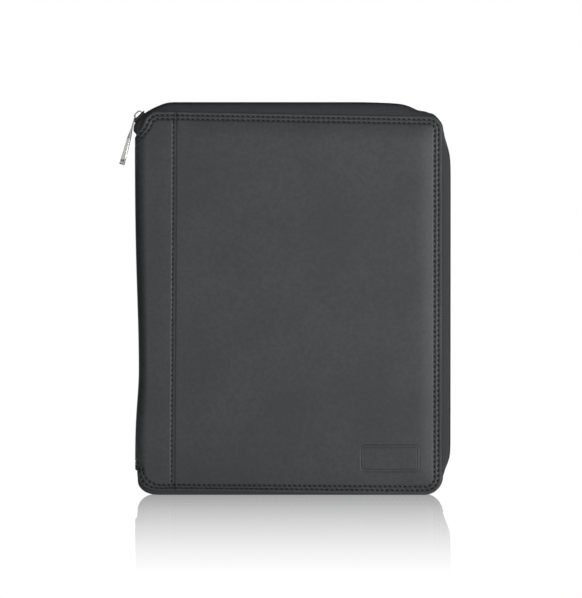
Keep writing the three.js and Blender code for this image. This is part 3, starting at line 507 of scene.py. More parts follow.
def directions_on(path, at, reach):
    """Unit directions of a path at the given distances, taken over a reach to both sides."""
    ahead = points_on(path, at + reach) - points_on(path, at - reach)
    return ahead / np.linalg.norm(ahead, axis=1)[:, None]


def walk(path, pitch):
    """Places and directions along a path at an even pitch, half a pitch in from its start."""
    at = np.arange(pitch / 2, travelled(path)[-1], pitch)
    return points_on(path, at), directions_on(path, at, WALK_REACH)


row_walks = [walk(rounded_outline(inset), STITCH_PITCH) for inset in (OUTER_ROW, INNER_ROW)]
seam_heights = np.array([COVER_LOW + INNER_ROW + 1, COVER_HIGH - INNER_ROW - 1])
seam_path = stacked(band_edge(seam_heights) - SEAM_ROW, seam_heights)
seam_stitches, seam_directions = walk(seam_path, STITCH_PITCH)
edge_stitches, edge_directions = (np.concatenate([row[k] for row in row_walks]) for k in (0, 1))
print("stitches a cover", len(edge_stitches) + len(seam_stitches))

# %% [markdown]
# ## How the leather lies
# Foam under the leather lifts it into a low cushion, and the thread pulls it down, so the surface has a
# crown, two valleys with a small ridge between them, a dimple at each stitch and a rounded edge. One formula
# gives the depth of any place on the pattern, from its distance to the edge and to the nearest stitch.

# %% Relief of the leather
CROWN = 2.2
BAND_CROWN = 1.0
CROWN_REACH = 17
VALLEY = 0.62
VALLEY_WIDTH = 0.85
DIMPLE = 0.42
DIMPLE_WIDTH = 1.15
EDGE_ROUND = 0.9
BAND_STEP = 0.9
SEAM_VALLEY = 0.45


def smooth(low, high, value):
    """Smooth step: 0 below low, 1 above high, and 3t^2 - 2t^3 between."""
    t = np.clip((value - low) / (high - low), 0, 1)
    return t * t * (3 - 2 * t)


def nearest(points, targets):
    """Distance from each point to the nearest target, in blocks that keep the arrays small."""
    found = [np.sqrt(((block[:, None] - targets) ** 2).sum(-1)).min(1)
             for block in np.array_split(points, max(1, len(points) // 2000))]
    return np.concatenate(found)


def cushion(distance):
    """Share of the crown at a distance from an edge: a quarter of a sine wave from the inner row."""
    return np.sin(np.clip((distance - INNER_ROW) / CROWN_REACH, 0, 1) * math.pi / 2)


def edge_profile(distance):
    """Depth by the distance from the edge: a quarter round at the edge, and a bell-shaped valley on each row
    of stitches."""
    rounding = EDGE_ROUND - np.sqrt(EDGE_ROUND ** 2 - np.clip(EDGE_ROUND - distance, 0, EDGE_ROUND) ** 2)
    valleys = sum(np.exp(-((distance - row) / VALLEY_WIDTH) ** 2) for row in (OUTER_ROW, INNER_ROW))
    return 0.75 * rounding + VALLEY * valleys


def leather_depth(places, distance):
    """Depth of a panel: its edge's profile, a dimple at the nearest stitch, and the crown. The crown is a
    product of the shares from the three sewn sides, so that it has no crease at a corner, and it is lower
    beside the band."""
    x, z = places.T
    lift = CROWN + (BAND_CROWN - CROWN) * smooth(62, SEAM_X, x)
    crown = lift * cushion(COVER_RIGHT - x) * cushion(COVER_HIGH - z) * cushion(z - COVER_LOW)
    gap = nearest(places, edge_stitches)
    return edge_profile(distance) - crown + DIMPLE * np.exp(-(gap / DIMPLE_WIDTH) ** 2)

# %% [markdown]
# ## How the leather bends
# The pattern turns round the spine's rounded edge. Hands have pressed the spine in a little at one height,
# and the front cover has crept on its boards. Both are small smooth shifts of the points.

# %% Bend, bow and creep
SPINE_BOW = 3.3
SPINE_BOW_AT = 108
SPINE_BOW_ABOVE = 90
SPINE_BOW_BELOW = 38
SPINE_PROUD = 0.9
BOW_REACH = 16


def spine_bow(z):
    """How far the spine's face moves in x at height z: it stands proud at its ends, and bows in where a hand
    holds it, as a bell with a longer tail above than below."""
    width = np.where(z > SPINE_BOW_AT, SPINE_BOW_ABOVE, SPINE_BOW_BELOW)
    return SPINE_BOW * np.exp(-((z - SPINE_BOW_AT) / width) ** 2) - SPINE_PROUD


def wrapped(s, z, depth, side):
    """A place on the pattern in space. On the cover x = s. On the rounded edge the leather turns about a
    centre a bend's radius inside both faces, and past it runs to the middle of the spine."""
    turn = np.clip((BEND - s) / BEND, 0, math.pi / 2)
    past = np.clip(BEND - BEND * math.pi / 2 - s, 0, None)
    x = np.where(s > BEND, s, BEND - (BEND - depth) * np.sin(turn))
    y = np.where(s > BEND, HALF - depth, HALF - BEND + (BEND - depth) * np.cos(turn) - past)
    x = x + spine_bow(z) * (1 - smooth(0, BOW_REACH, x))
    return stacked(x, side * y, z)


CREEP_FROM = 38
CREEP_TOP = 2.6
CREEP_TOP_SLOPE = 0.0181
CREEP_LOW = 0.8
CREEP_LOW_SLOPE = 0.007
CREEP_AT_SPINE = 0.6
LOW_CURL = 1.5
CURL_HEIGHT = 5.5


def crept(points, side):
    """The front cover has crept a little on its boards, so its edges run slightly downhill to the right: the
    rise at the top and the rise at the bottom each change evenly with x. At the lower left the very edge has
    curled up a little more."""
    if side > 0:
        return points
    x, z = points[..., 0], points[..., 2]
    run = np.clip(x - CREEP_FROM, 0, None)
    up = (z - COVER_LOW) / (COVER_HIGH - COVER_LOW)
    rise = up * (CREEP_TOP - CREEP_TOP_SLOPE * run) + (1 - up) * (CREEP_LOW - CREEP_LOW_SLOPE * run)
    fade = smooth(-2, 10, x) * (1 - CREEP_AT_SPINE) + CREEP_AT_SPINE
    rise = rise + LOW_CURL * smooth(COVER_LOW + CURL_HEIGHT, COVER_LOW, z) * smooth(220, 40, x)
    return stacked(x, points[..., 1], z + rise * fade)


# %% [markdown]
# ## The cover panels
# The panel is one piece of leather from under the band to the free edge. Outlines with a growing inset are
# its rings, close together where the stitches are, and inside them the rings shrink to one point under the
# band.

# %% Cover panels
PANEL_LEFT = SEAM_X - 7
PANEL_THICKNESS = 1.1
RING_INSETS = np.concatenate([[0, 0.25, 0.6, 1], np.arange(1.5, 9.1, 0.5), [10, 11.5, 13.5, 16, 19, 23]])
MIDDLE_SHARES = np.array([0.12, 0.3, 0.5, 0.7, 0.88, 0.97, 1])


def panel_grid():
    """Rings of the panel as s and z, with each ring's distance from the edge. The outermost rings are insets
    of the outline between the band and the lower corner, and the inner ones shrink in straight lines to a
    point under the band, half way up."""
    half_way = len(outline) // 2
    first = np.argmax(outline[:, 0] > PANEL_LEFT)
    last = half_way + np.argmax(outline[half_way:, 0] < PANEL_LEFT)
    rings = [rounded_outline(inset)[first:last] for inset in RING_INSETS]
    for ring in rings:
        ring[[0, -1], 0] = PANEL_LEFT
    inner = rings[-1]
    hidden = np.array([PANEL_LEFT, COVER_MIDDLE])
    rings += [inner + (hidden - inner) * share for share in MIDDLE_SHARES]
    distances = np.concatenate([RING_INSETS, np.full(len(MIDDLE_SHARES), RING_INSETS[-1] + 5)])
    return np.stack(rings, 1), distances


def add_panel(name, side, material, replaced, body):
    """A cover's panel: the rings with their relief outside, and a level face inside."""
    grid, distances = panel_grid()
    places = grid.reshape(-1, 2)
    depth = BAND_STEP + leather_depth(places, np.tile(distances, len(grid)))
    outer = stacked(places[:, 0], side * (HALF - depth), places[:, 1]).reshape(*grid.shape[:2], 3)
    inner = outer.copy()
    inner[..., 1] = side * (HALF - BAND_STEP - PANEL_THICKNESS)
    piece = add_sheet(name, crept(outer, side), crept(inner, side), material, "leather", merge=True,
                      painted=(edge_paint_and_shade, rim_faces(*grid.shape[:2])))
    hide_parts(*replaced)
    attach(piece, body)


add_panel("cover_leather_front", -1, pressed_leather, ["front_panel_leather"], "front_cover")
add_panel("cover_leather_back", 1, cover_leather, ["back_panel_leather"], "back_cover")

# %% [markdown]
# ## The band round the spine
# One strip of the same leather covers the spine. Its free edges lie on top of the panels, and its middle
# turns round the spine's two rounded edges. Here it is two halves that meet in the middle of the spine,
# because each half bends at its own fold when the folder opens.

# %% Band and spine leather
BAND_THICKNESS = 1.1
SKIVE = 7.5
FOLD_START = (0.2, 4.0)
FOLD_END = (7.2, 12.6)
FRONT_FOLD = ("spine", "front_cover")
BACK_FOLD = ("spine", "back_cover")
SIDES = ((-1, "front", FRONT_FOLD, "front_cover"), (1, "back", BACK_FOLD, "back_cover"))


def upper_and_lower(line):
    """The parts of a drawn outline above and below the free edge, both from the spine outwards."""
    split = np.argmax(outline[:, 0] == COVER_RIGHT)
    return line[:split], line[split:][::-1]


def columns_between(places, line, near, count):
    """A grid of points in columns at the given places, from a drawn outline's lower edge to its upper one:
    close together at both edges, by the distances near, and even between."""
    upper, lower = upper_and_lower(line)
    low, high = (np.interp(places, edge[:, 0], edge[:, 1])[:, None] for edge in (lower, upper))
    inner = low + near[-1] + (high - low - 2 * near[-1]) * np.linspace(0, 1, count)[1:-1]
    return stacked(places[:, None], np.concatenate([low + near, inner, high - near[::-1]], 1))


def band_grid():
    """Columns of the band from the middle of the spine to its free edge, leaning with that edge; with each
    place's distance from the outline."""
    near = np.concatenate([[0, 0.25, 0.6, 1], np.arange(1.5, 9.1, 0.5), [10, 11.5]])
    places = np.concatenate([np.linspace(SPINE_MIDDLE, 0, 14), np.arange(0.7, 27, 0.7),
                             np.linspace(27.4, SEAM_X, 14)])
    grid = columns_between(places, outline, near, 230)
    grid[..., 0] += (grid[..., 1] - COVER_MIDDLE) * SEAM_LEAN * smooth(20, SEAM_X, grid[..., 0])
    return grid, nearest(grid.reshape(-1, 2), outline)


def band_lift(distance, from_edge):
    """How far the foam lifts the band, by the distances from the outline and from the band's own edge."""
    return BAND_CROWN * cushion(distance) * smooth(27, 10, from_edge)


def add_band(name, side, replaced):
    """Half of the band. Its seam dips at the row of stitches beside its free edge, and its inner face
    thins there, where the leather is skived."""
    grid, distance = band_grid()
    places = grid.reshape(-1, 2)
    from_edge = band_edge(places[:, 1]) - places[:, 0]
    lift = band_lift(distance, from_edge)
    crown = edge_profile(distance) - lift
    gap = np.minimum(nearest(places, edge_stitches), nearest(places, seam_stitches) + 0.15)
    seam = SEAM_VALLEY * np.exp(-((from_edge - SEAM_ROW) / VALLEY_WIDTH) ** 2)
    lip = 0.5 * np.clip(1 - from_edge / 0.7, 0, 1) ** 2
    depth = crown + DIMPLE * np.exp(-(gap / DIMPLE_WIDTH) ** 2) + seam + lip
    thick = np.where(from_edge < SKIVE, BAND_STEP - 0.05, BAND_STEP + BAND_THICKNESS * 0.6) - lift
    outer = wrapped(places[:, 0], places[:, 1], depth, side).reshape(*grid.shape[:2], 3)
    inner = wrapped(places[:, 0], places[:, 1], np.maximum(thick, depth + 0.3), side).reshape(outer.shape)
    # The band's rim takes the black edge paint, and so do the two rows of outer faces beside its free edge: a
    # painted shade line where the band steps down on to the panel.
    piece = add_sheet(name, crept(outer, side), crept(inner, side), cover_leather, "leather",
                      painted=(edge_paint_and_shade, rim_faces(*grid.shape[:2], beside=2)))
    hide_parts(*replaced)
    across_fold(piece, side)


def across_fold(piece, side):
    """Bakes the piece's transform; the ends of the fold on its side of the spine are worked out but not used.
    """
    start = in_row([FOLD_START[0], side * FOLD_START[1], 0])
    end = in_row([FOLD_END[0], side * FOLD_END[1], 0])
    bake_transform(piece)


for side, half, bodies, _ in SIDES:
    add_band(f"band_leather_{half}", side, [f"{half}_band_leather", "spine_leather"])

# %% [markdown]
# ## The thread
# Each stitch is a short rounded length of thread whose two ends dive into the leather. It is a tube of six
# sides and five rings, drawn once and then stamped at every place of the walk, in the flat pattern, so that
# it bends round the spine with the leather it holds.

# %% Stitches
STITCH_HALF = 1.4
STITCH_SLANT = math.radians(24)
THREAD_RADIUS = 0.47
TUBE_SIDES = 6


def closed_tube(rings, cap):
    """Points and quads of a closed tube from its rings; cap holds the quads that fill a ring."""
    count, sides = rings.shape[:2]
    ends = (np.arange(sides) * count)[np.array(cap)]
    quads = np.concatenate([grid_quads(sides, count, loop=True), ends, ends[:, ::-1] + count - 1])
    return rings.transpose(1, 0, 2).reshape(-1, 3), quads


def tube_stamp(along, radius, lift, across=1.0):
    """A short closed tube: rings of the given radii at places along it, lifted by the given heights."""
    angle = np.arange(TUBE_SIDES) / TUBE_SIDES * 2 * math.pi
    rings = stacked(along[:, None], np.outer(radius, np.cos(angle)) * across,
                    np.outer(radius, np.sin(angle)) + lift[:, None])
    return closed_tube(rings, [[0, 1, 2, 3], [0, 3, 4, 5]])


def stamp_all(shape, quads, copies):
    """Quads of many copies of one stamp."""
    return (quads[None] + np.arange(copies)[:, None, None] * len(shape)).reshape(-1, 4)


def add_stitches(name, places, directions, depth, side, inside=False):
    """Stitches at places on the flat pattern, each turned aslant to its row, with its middle proud of the
    leather, or, inside the folder, of the lining."""
    shape, quads = tube_stamp(np.array([-1, -0.75, 0, 0.75, 1]) * STITCH_HALF,
                              np.array([0.5, 0.9, 1, 0.9, 0.5]) * THREAD_RADIUS,
                              np.array([-0.45, -0.05, 0.14, -0.05, -0.45]))
    angle = np.arctan2(directions[:, 1], directions[:, 0]) - STITCH_SLANT
    along = stacked(np.cos(angle), np.sin(angle))
    beside = stacked(-along[:, 1], along[:, 0])
    flat = places[:, None] + shape[None, :, :1] * along[:, None] + shape[None, :, 1:2] * beside[:, None]
    deep = depth[:, None] + shape[None, :, 2] * (1 if inside else -1)
    points = wrapped(flat[..., 0], flat[..., 1], deep, side)
    if not inside:
        points = crept(points, side)
    return add_piece(name, points, stamp_all(shape, quads, len(places)), thread_finish, "coil", sharp=80)


on_band = edge_stitches[:, 0] < band_edge(edge_stitches[:, 1])
bottom = 0.25 + DIMPLE * 0.7
from_end = np.minimum(COVER_HIGH - seam_stitches[:, 1], seam_stitches[:, 1] - COVER_LOW)
seam_bottom = bottom - band_lift(from_end, np.full(len(from_end), SEAM_ROW))
for side, half, bodies, cover in SIDES:
    over = add_stitches(f"band_stitches_{half}",
                        np.concatenate([edge_stitches[on_band], seam_stitches]),
                        np.concatenate([edge_directions[on_band], seam_directions]),
                        np.concatenate([np.full(on_band.sum(), bottom), seam_bottom]), side)
    across_fold(over, side)
    rest = add_stitches(f"cover_stitches_{half}", edge_stitches[~on_band], edge_directions[~on_band],
                        np.full((~on_band).sum(), BAND_STEP + bottom), side)
    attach(rest, cover)

# %% [markdown]
# ## The zip's tape
# Each half of the tape is sewn under the leather's edge, rises out of it in a quarter round and ends beside
# the teeth. The tape stands well proud in the middle of a side and is drawn tight round the corners, where
# its shoulder hides the teeth. Stations round the folder hold the place of the tape's base and of its ridge,
# and a section carries the cloth from one to the other.

# %% Stations of the zip
TOP_BULGE = 9.5
SIDE_BULGE = 6.5
CORNER_BULGE = -0.5
TOP_RISE = 21
SIDE_RISE_HIGH = 23.5
SIDE_RISE_LOW = 17
RISE_TURN = 6
SHOULDER_LIFT = 1.6
SHOULDER_REACH = 9
CORNER_PEAK = 2.1
TOP_RADIUS = RADII[5]
LOW_RADIUS = RADII[6]
BASE_INSET = 1.2
TAPE_OUTER = HALF - 2.6
GROUND_SEAT = -0.7
GROUND_SHOULDER = 1.4
END_X = 47
SIDE_ARC = 5.6
GROUND_ARC = 8.4
SETTLE_DROP = 1.9
SETTLE_X = (190, 262)
SETTLE_Z = (240, 318)


def rise(distance, reach):
    """Share of the full bulge at a distance from a corner: a straight ramp that turns level at its end."""
    ramp = np.clip(distance, 0, None) / reach
    return ramp / (1 + ramp ** RISE_TURN) ** (1 / RISE_TURN)


def free_edge_stations(step=1.3):
    """Stations on the top, the free edge and the ground: the outline's place and normal, and how far the
    seat of the teeth and the shoulder stand out. Columns: x, z, nx, nz, seat, shoulder, arc end."""
    right, high, low = COVER_RIGHT, COVER_HIGH, COVER_LOW
    rows = []
    x = np.arange(END_X, right - TOP_RADIUS, step)
    gap = right - TOP_RADIUS - x
    seat = CORNER_BULGE + (TOP_BULGE - CORNER_BULGE) * rise(gap, TOP_RISE)
    lift = (SHOULDER_LIFT + CORNER_PEAK) * np.exp(-(gap / SHOULDER_REACH) ** 2)
    rows.append(stacked(x, high, 0, 1, seat, seat + lift, SIDE_ARC))
    angle = np.linspace(math.pi / 2, 0, 12)
    cos, sin = np.cos(angle), np.sin(angle)
    peak = CORNER_BULGE + SHOULDER_LIFT + CORNER_PEAK * smooth(0.7, math.pi / 2, angle)
    rows.append(stacked(right - TOP_RADIUS + TOP_RADIUS * cos, high - TOP_RADIUS + TOP_RADIUS * sin, cos, sin,
                        CORNER_BULGE, peak, SIDE_ARC))
    z = np.arange(high - TOP_RADIUS - step, low + LOW_RADIUS, -step)
    above, below = high - TOP_RADIUS - z, z - low - LOW_RADIUS
    share = rise(above, SIDE_RISE_HIGH) * rise(below, SIDE_RISE_LOW)
    seat = CORNER_BULGE + (SIDE_BULGE - CORNER_BULGE) * share
    lift = SHOULDER_LIFT * (np.exp(-(above / SHOULDER_REACH) ** 2) + np.exp(-(below / SHOULDER_REACH) ** 2))
    rows.append(stacked(right, z, 1, 0, seat, seat + lift, SIDE_ARC))
    angle = np.linspace(0, -math.pi / 2, 14)
    cos, sin, share = np.cos(angle), np.sin(angle), np.linspace(0, 1, 14)
    from_peak = GROUND_SHOULDER - CORNER_BULGE - SHOULDER_LIFT
    rows.append(stacked(right - LOW_RADIUS + LOW_RADIUS * cos, low + LOW_RADIUS + LOW_RADIUS * sin, cos, sin,
                        CORNER_BULGE + (GROUND_SEAT - CORNER_BULGE) * share,
                        CORNER_BULGE + SHOULDER_LIFT + from_peak * share,
                        SIDE_ARC + (GROUND_ARC - SIDE_ARC) * share))
    x = np.linspace(right - LOW_RADIUS - step, END_X - 0.6, round((right - LOW_RADIUS - END_X) / step))
    rows.append(stacked(x, low, 0, -1, GROUND_SEAT, GROUND_SHOULDER, GROUND_ARC))
    return np.concatenate(rows)


def settled(points):
    """The zip sinks a little beside the upper corner, where the cover has crept down."""
    x, z = points[..., 0], points[..., 2]
    drop = SETTLE_DROP * smooth(*SETTLE_X, x) * smooth(*SETTLE_Z, z)
    return stacked(x, points[..., 1], z - drop)


stations = free_edge_stations()
print("zip stations", len(stations))

# %% [markdown]
# ## The ends of the zip
# At the spine the closed zip turns down round a wide bend above and a narrow one below, and its tape is
# tucked into the spine's leather. Each end is one smooth sheet from the cover to the tail.

# %% Stations of the two ends
BEND_CENTRE = joint_mm("slider_travel")
BEND_RADIUS = 39.5
BEND_STOP = math.radians(52)
TAIL_X = 2.1
LOW_CENTRE = np.array([23.4, 23.5])
LOW_BEND_RADIUS = 21
LOW_FULLNESS = 2.6
LOW_TURN = math.radians(82)
LOW_TUCK = math.radians(50)
LOW_SHOULDER = 2.1
LOW_BASE = 20.6
TAIL_OUTER = 6
TAIL_ARC = 5


def smooth_path(points, count):
    """A smooth line through the given points: Catmull-Rom between each two, at equal counts."""
    points = np.asarray(points, float)
    padded = np.concatenate([2 * points[:1] - points[1:2], points, 2 * points[-1:] - points[-2:-1]])
    t = np.linspace(0, len(points) - 1, count)
    k = np.minimum(t.astype(int), len(points) - 2)
    f = (t - k)[:, None]
    a, b, c, d = (padded[k + n] for n in range(4))
    square = 2 * a - 5 * b + 4 * c - d
    cube = 3 * b - a - 3 * c + d
    return 0.5 * (2 * b + (c - a) * f + square * f ** 2 + cube * f ** 3)


def top_end_stations():
    """Columns as before but with the base and the ridge as places: base x, z, ridge x, z, shoulder x, z,
    outer y, arc end. The ridge runs level, round the bend, turns tightly and goes down inside the spine."""
    angle = np.linspace(0, BEND_STOP, 7)
    centre = BEND_CENTRE[[0, 2]]
    step = COVER_HIGH + TOP_BULGE - centre[1] - BEND_RADIUS
    radius = BEND_RADIUS + step * (1 - smooth(0, 0.42, angle))
    bend = centre + radius[:, None] * stacked(-np.sin(angle), np.cos(angle))
    level = [(END_X + 0.6, COVER_HIGH + TOP_BULGE), (40, COVER_HIGH + TOP_BULGE)]
    tuck = [(-0.2, 319.6), (-0.5, 316.8), (-0.7, 314.6), (0.5, 313.2), (1.7, 311.6), (TAIL_X, 308),
            (TAIL_X, 300)]
    ridge = smooth_path([*level, *bend, *tuck], 90)
    upper = upper_and_lower(rounded_outline(BASE_INSET))[0][::-1]
    upper = upper[(upper[:, 0] < END_X + 0.6) & (upper[:, 0] > 2)]
    base = points_on(upper, np.linspace(0, 1, 66) * travelled(upper)[-1])
    base = np.concatenate([base, np.linspace(base[-1], ridge[-12], 13)[1:], ridge[-12:]])
    tucked = smooth(58, 84, np.arange(90))
    return np.column_stack([base, ridge, ridge, TAPE_OUTER + (TAIL_OUTER - TAPE_OUTER) * tucked,
                            SIDE_ARC + (TAIL_ARC - SIDE_ARC) * tucked])

# %% [markdown]
# ## The lower end
# The lower end is the same kind of table as the upper one, but its bend is nearly a quarter turn about a
# centre near the ground.

# %% Lower end
def low_end_stations():
    """The same for the lower end: level on the ground, a quarter turn up, fullest half way round it, and the
    tail inside the spine."""
    turned = np.linspace(0, LOW_TURN, 44)
    angle = math.pi - turned
    level = np.linspace(END_X, LOW_CENTRE[0] + 0.7, 20)
    flat = stacked(level, COVER_LOW)
    share = smooth(LOW_TUCK, LOW_TURN, turned)
    out = stacked(-np.sin(angle), np.cos(angle))
    full = LOW_FULLNESS * np.sin(2 * turned) ** 2
    seat = LOW_CENTRE + out * (LOW_BEND_RADIUS + full)[:, None]
    shoulder = LOW_CENTRE + out * (LOW_BEND_RADIUS + full + LOW_SHOULDER * (1 - share))[:, None]
    base = LOW_CENTRE + out * (LOW_BASE + 0.3 * share)[:, None]
    tail = stacked(TAIL_X, np.linspace(24.8, 37, 14))
    ridge = np.concatenate([flat - (0, GROUND_SEAT), seat, tail])
    arms = np.concatenate([flat - (0, GROUND_SHOULDER), shoulder, tail])
    base = np.concatenate([flat + (0, 1), base, tail])
    mix = np.concatenate([0 * level, share, np.ones(14)])
    return np.column_stack([base, ridge, arms, TAPE_OUTER + (TAIL_OUTER - TAPE_OUTER) * mix,
                            GROUND_ARC + (TAIL_ARC - GROUND_ARC) * mix])


def edge_as_places(table):
    """Free-edge stations in the same columns as the ends."""
    x, z, nx, nz, seat, shoulder, arc_end = table.T
    normal = stacked(nx, nz)
    place = stacked(x, z)
    return np.column_stack([place - normal * BASE_INSET, place + normal * seat[:, None],
                            place + normal * shoulder[:, None], 0 * x + TAPE_OUTER, arc_end])


top_end = top_end_stations()
low_end = low_end_stations()
free_edge = edge_as_places(stations)

# %% Tape sheets
TAPE_THICKNESS = 0.8
FLAT_HALF = 4.6
CORD_HALF = 3.5
CORD_LIFT = 1.1
TAPE_EDGE = 0.12
FLANGE = 6


def tape_section(table, side):
    """The cloth at each station, from the edge that is sewn under the leather to the edge at the teeth: a
    quarter of an ellipse from base to shoulder, then level, and raised over the cord that holds the teeth."""
    base, ridge, arm = table[:, 0:2], table[:, 2:4], table[:, 4:6]
    outer, arc_end = table[:, 6], table[:, 7]
    inside = base - (arm - base) / np.maximum(np.linalg.norm(arm - base, axis=1), 1)[:, None] * FLANGE
    angle = np.linspace(0, math.pi / 2, 10)
    places = [inside] + [base + (arm - base) * math.sin(a) for a in angle]
    heights = [outer] + [arc_end + (outer - arc_end) * math.cos(a) for a in angle]
    reach = np.linalg.norm(ridge - base, axis=1)
    out = (ridge - base) / np.maximum(reach, 1e-3)[:, None] * (reach > 0.05)[:, None] * CORD_LIFT
    for share, y, lift in ((0.0, FLAT_HALF + 0.3, 0), (0.7, FLAT_HALF - 0.2, 0), (1.0, CORD_HALF + 0.4, 0.1),
                           (1.0, CORD_HALF, 1), (1.0, 2, 1), (1.0, TAPE_EDGE, 1)):
        places.append(arm + (ridge - arm) * share + out * lift)
        heights.append(np.full(len(table), y))
    flat = np.stack(places, 1)
    y = np.stack(heights, 1)
    return stacked(flat[..., 0], side * y, flat[..., 1])


def grid_normals(grid):
    """Unit normals of a grid of points, from its two directions."""
    normal = np.cross(np.gradient(grid, axis=0), np.gradient(grid, axis=1))
    return normal / np.maximum(np.linalg.norm(normal, axis=-1, keepdims=True), 1e-9)


def add_tape(name, table, side, replaced):
    """A half of the tape as a closed sheet of even thickness, with its cloth pattern laid along it."""
    grid = settled(tape_section(table, side))
    uv = stacked(travelled(grid[:, 10])[:, None], travelled(grid[len(grid) // 2]))
    offset = grid_normals(grid) * TAPE_THICKNESS / 2
    offset[..., 1][:, -1] = 0
    piece = add_sheet(name, grid + offset, grid - offset, zip_cloth, "tape", uv=uv)
    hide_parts(*replaced)
    return piece


RIDGE_START = 14
RIDGE_END = 46
RIDGE_Y = 1.4
BASE_FULL = 9


def end_blend(piece, side):
    """Bakes a zip end's transform. The line on the ridge along which the cover's share of the motion would
    grow is worked out but not used."""
    slope = (RIDGE_END - BASE_FULL) / (TAPE_OUTER - RIDGE_Y)
    direction = np.array([1, side * slope]) / math.hypot(1, slope)
    start = np.array([RIDGE_START, side * RIDGE_Y])
    end = start + direction * (RIDGE_END - RIDGE_START) * direction[0]
    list(in_row([*start, 0])[:2])
    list(in_row([*end, 0])[:2])
    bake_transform(piece)


for side, half, bodies, cover in SIDES:
    long_tape = add_tape(f"tape_{half}", free_edge, side, [f"{half}_zip_tape"])
    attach(long_tape, cover)
    upper = add_tape(f"tape_end_upper_{half}", top_end, side, ["zip_tape_end_top"])
    end_blend(upper, side)
    lower = add_tape(f"tape_end_lower_{half}", low_end, side, ["zip_tape_end_low"])
    end_blend(lower, side)

# %% [markdown]
# ## The teeth
# The zip is a nylon coil, size 8: each side has a turn every 1.9 mm, woven on to a cord at the tape's edge,
# and the two sides mesh, half a pitch apart. One turn of the coil shows as a short rounded bar across the
# cord with a wider head in the middle of the zip. It is drawn once and stamped along the ridge, turned to the
# ridge's own direction.

# %% Teeth
TOOTH_PITCH = 1.91
TOOTH_LIFT = 0.82
END_SKIPS = (0.9, 26)


def tooth_frames(table, offset, first_skip, last_skip):
    """Places, directions and outward normals along the ridge at an even pitch."""
    ridge = settled(stacked(table[:, 2], 0, table[:, 3]))[:, [0, 2]]
    at = np.arange(offset + first_skip, travelled(ridge)[-1] - last_skip, TOOTH_PITCH)
    direction = directions_on(ridge, at, 1)
    return points_on(ridge, at), direction, stacked(-direction[:, 1], direction[:, 0])


def add_teeth(name, table, side, replaced, outward, first_skip=0.0, last_skip=0.0):
    """A row of teeth of one side: the stamp's length runs across the zip, its width along the ridge."""
    shape, quads = tube_stamp(np.array([4.75, 4.6, 1.5, 0.7, -0.3, -0.6]),
                              np.array([0.74, 0.8, 0.8, 0.8, 0.76, 0.4]),
                              np.array([-0.1, 0.0, 0.0, 0.0, 0.0, 0.0]), across=0.66)
    offset = TOOTH_PITCH / 2 if side > 0 else 0.0
    place, direction, normal = tooth_frames(table, offset, first_skip, last_skip)
    normal = normal * outward
    flat = (place[:, None] + shape[None, :, 1:2] * direction[:, None]
            + (shape[None, :, 2:3] + TOOTH_LIFT) * normal[:, None])
    points = stacked(flat[..., 0], side * shape[:, 0], flat[..., 1])
    piece = add_piece(name, points, stamp_all(shape, quads, len(place)), tooth_finish, "coil", sharp=80)
    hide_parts(*replaced)
    return piece


for side, half, bodies, cover in SIDES:
    row_of_teeth = add_teeth(f"teeth_{half}", free_edge, side, [f"{half}_zip_coil"], 1)
    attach(row_of_teeth, cover)
    upper = add_teeth(f"teeth_end_upper_{half}", top_end, side, [f"{half}_coil_end_top"], -1, *END_SKIPS)
    end_blend(upper, side)
    lower = add_teeth(f"teeth_end_lower_{half}", low_end, side, [f"{half}_coil_end_low"], 1, *END_SKIPS)
    end_blend(lower, side)

# %% [markdown]
# ## The slider
# The slider is die-cast zinc with black lacquer: an upper and a lower plate, two side walls that turn down
# round the tape, and a post at its nose. Each plate is a rounded shape with a soft dome, drawn as a sheet of
# two parameters in the slider's own directions, and then turned on to the zip's bend.

# %% Slider
SLIDER_ANGLE = math.radians(43.5)
SLIDER_RADIUS = 39.4
SLIDER_REAR = 6.3
SLIDER_NOSE = 7.1
SLIDER_HALF = 4.8
PLATE = 0.9
CHANNEL_TOP = 2.55
CHANNEL_BOTTOM = -1.25
NOSE_SLOPE = 2.8
NOSE_DROP = 2


def on_slider(points):
    """From the slider's directions (along the zip, across it, outwards) to the folder's, about the bend."""
    along, across, out = points[..., 0], points[..., 1], points[..., 2]
    cos, sin = math.cos(SLIDER_ANGLE), math.sin(SLIDER_ANGLE)
    x = BEND_CENTRE[0] - SLIDER_RADIUS * sin + along * cos - out * sin
    z = BEND_CENTRE[2] + SLIDER_RADIUS * cos + along * sin + out * cos
    return stacked(x, across, z)


def plate_sheet(bottom, top, dome, corner, nose_drop):
    """A plate: along and across run over a rounded rectangle, whose corners come from moving the two ends in
    by an ellipse. The face is domed across, rounded over at its rim and sloped down at the nose."""
    u, v = np.meshgrid(np.linspace(-1, 1, 25), np.linspace(-1, 1, 15), indexing="ij")
    middle, reach = (SLIDER_REAR - SLIDER_NOSE) / 2, (SLIDER_REAR + SLIDER_NOSE) / 2
    along = middle + reach * u * np.sqrt(1 - corner * v ** 4)
    narrow = 1 - 0.12 * smooth(0, 1, u)
    across = SLIDER_HALF * v * np.sqrt(1 - 0.12 * u ** 6) * narrow
    drop = nose_drop * smooth(-SLIDER_NOSE + NOSE_SLOPE, -SLIDER_NOSE - 0.6, along)
    rim = np.maximum(np.abs(u), np.abs(v)) ** 10
    outer = stacked(along, across, top + dome * (1 - v ** 2) - 0.3 * rim - drop)
    inner = stacked(along, across, bottom + 0.15 * rim - drop * 0.7)
    return outer, inner

# %% [markdown]
# ## Bars for walls and post
# A cast wall or post is a bar with chamfered edges. Here a section of eight points is carried along a path,
# and the bars and plates are joined into one piece.

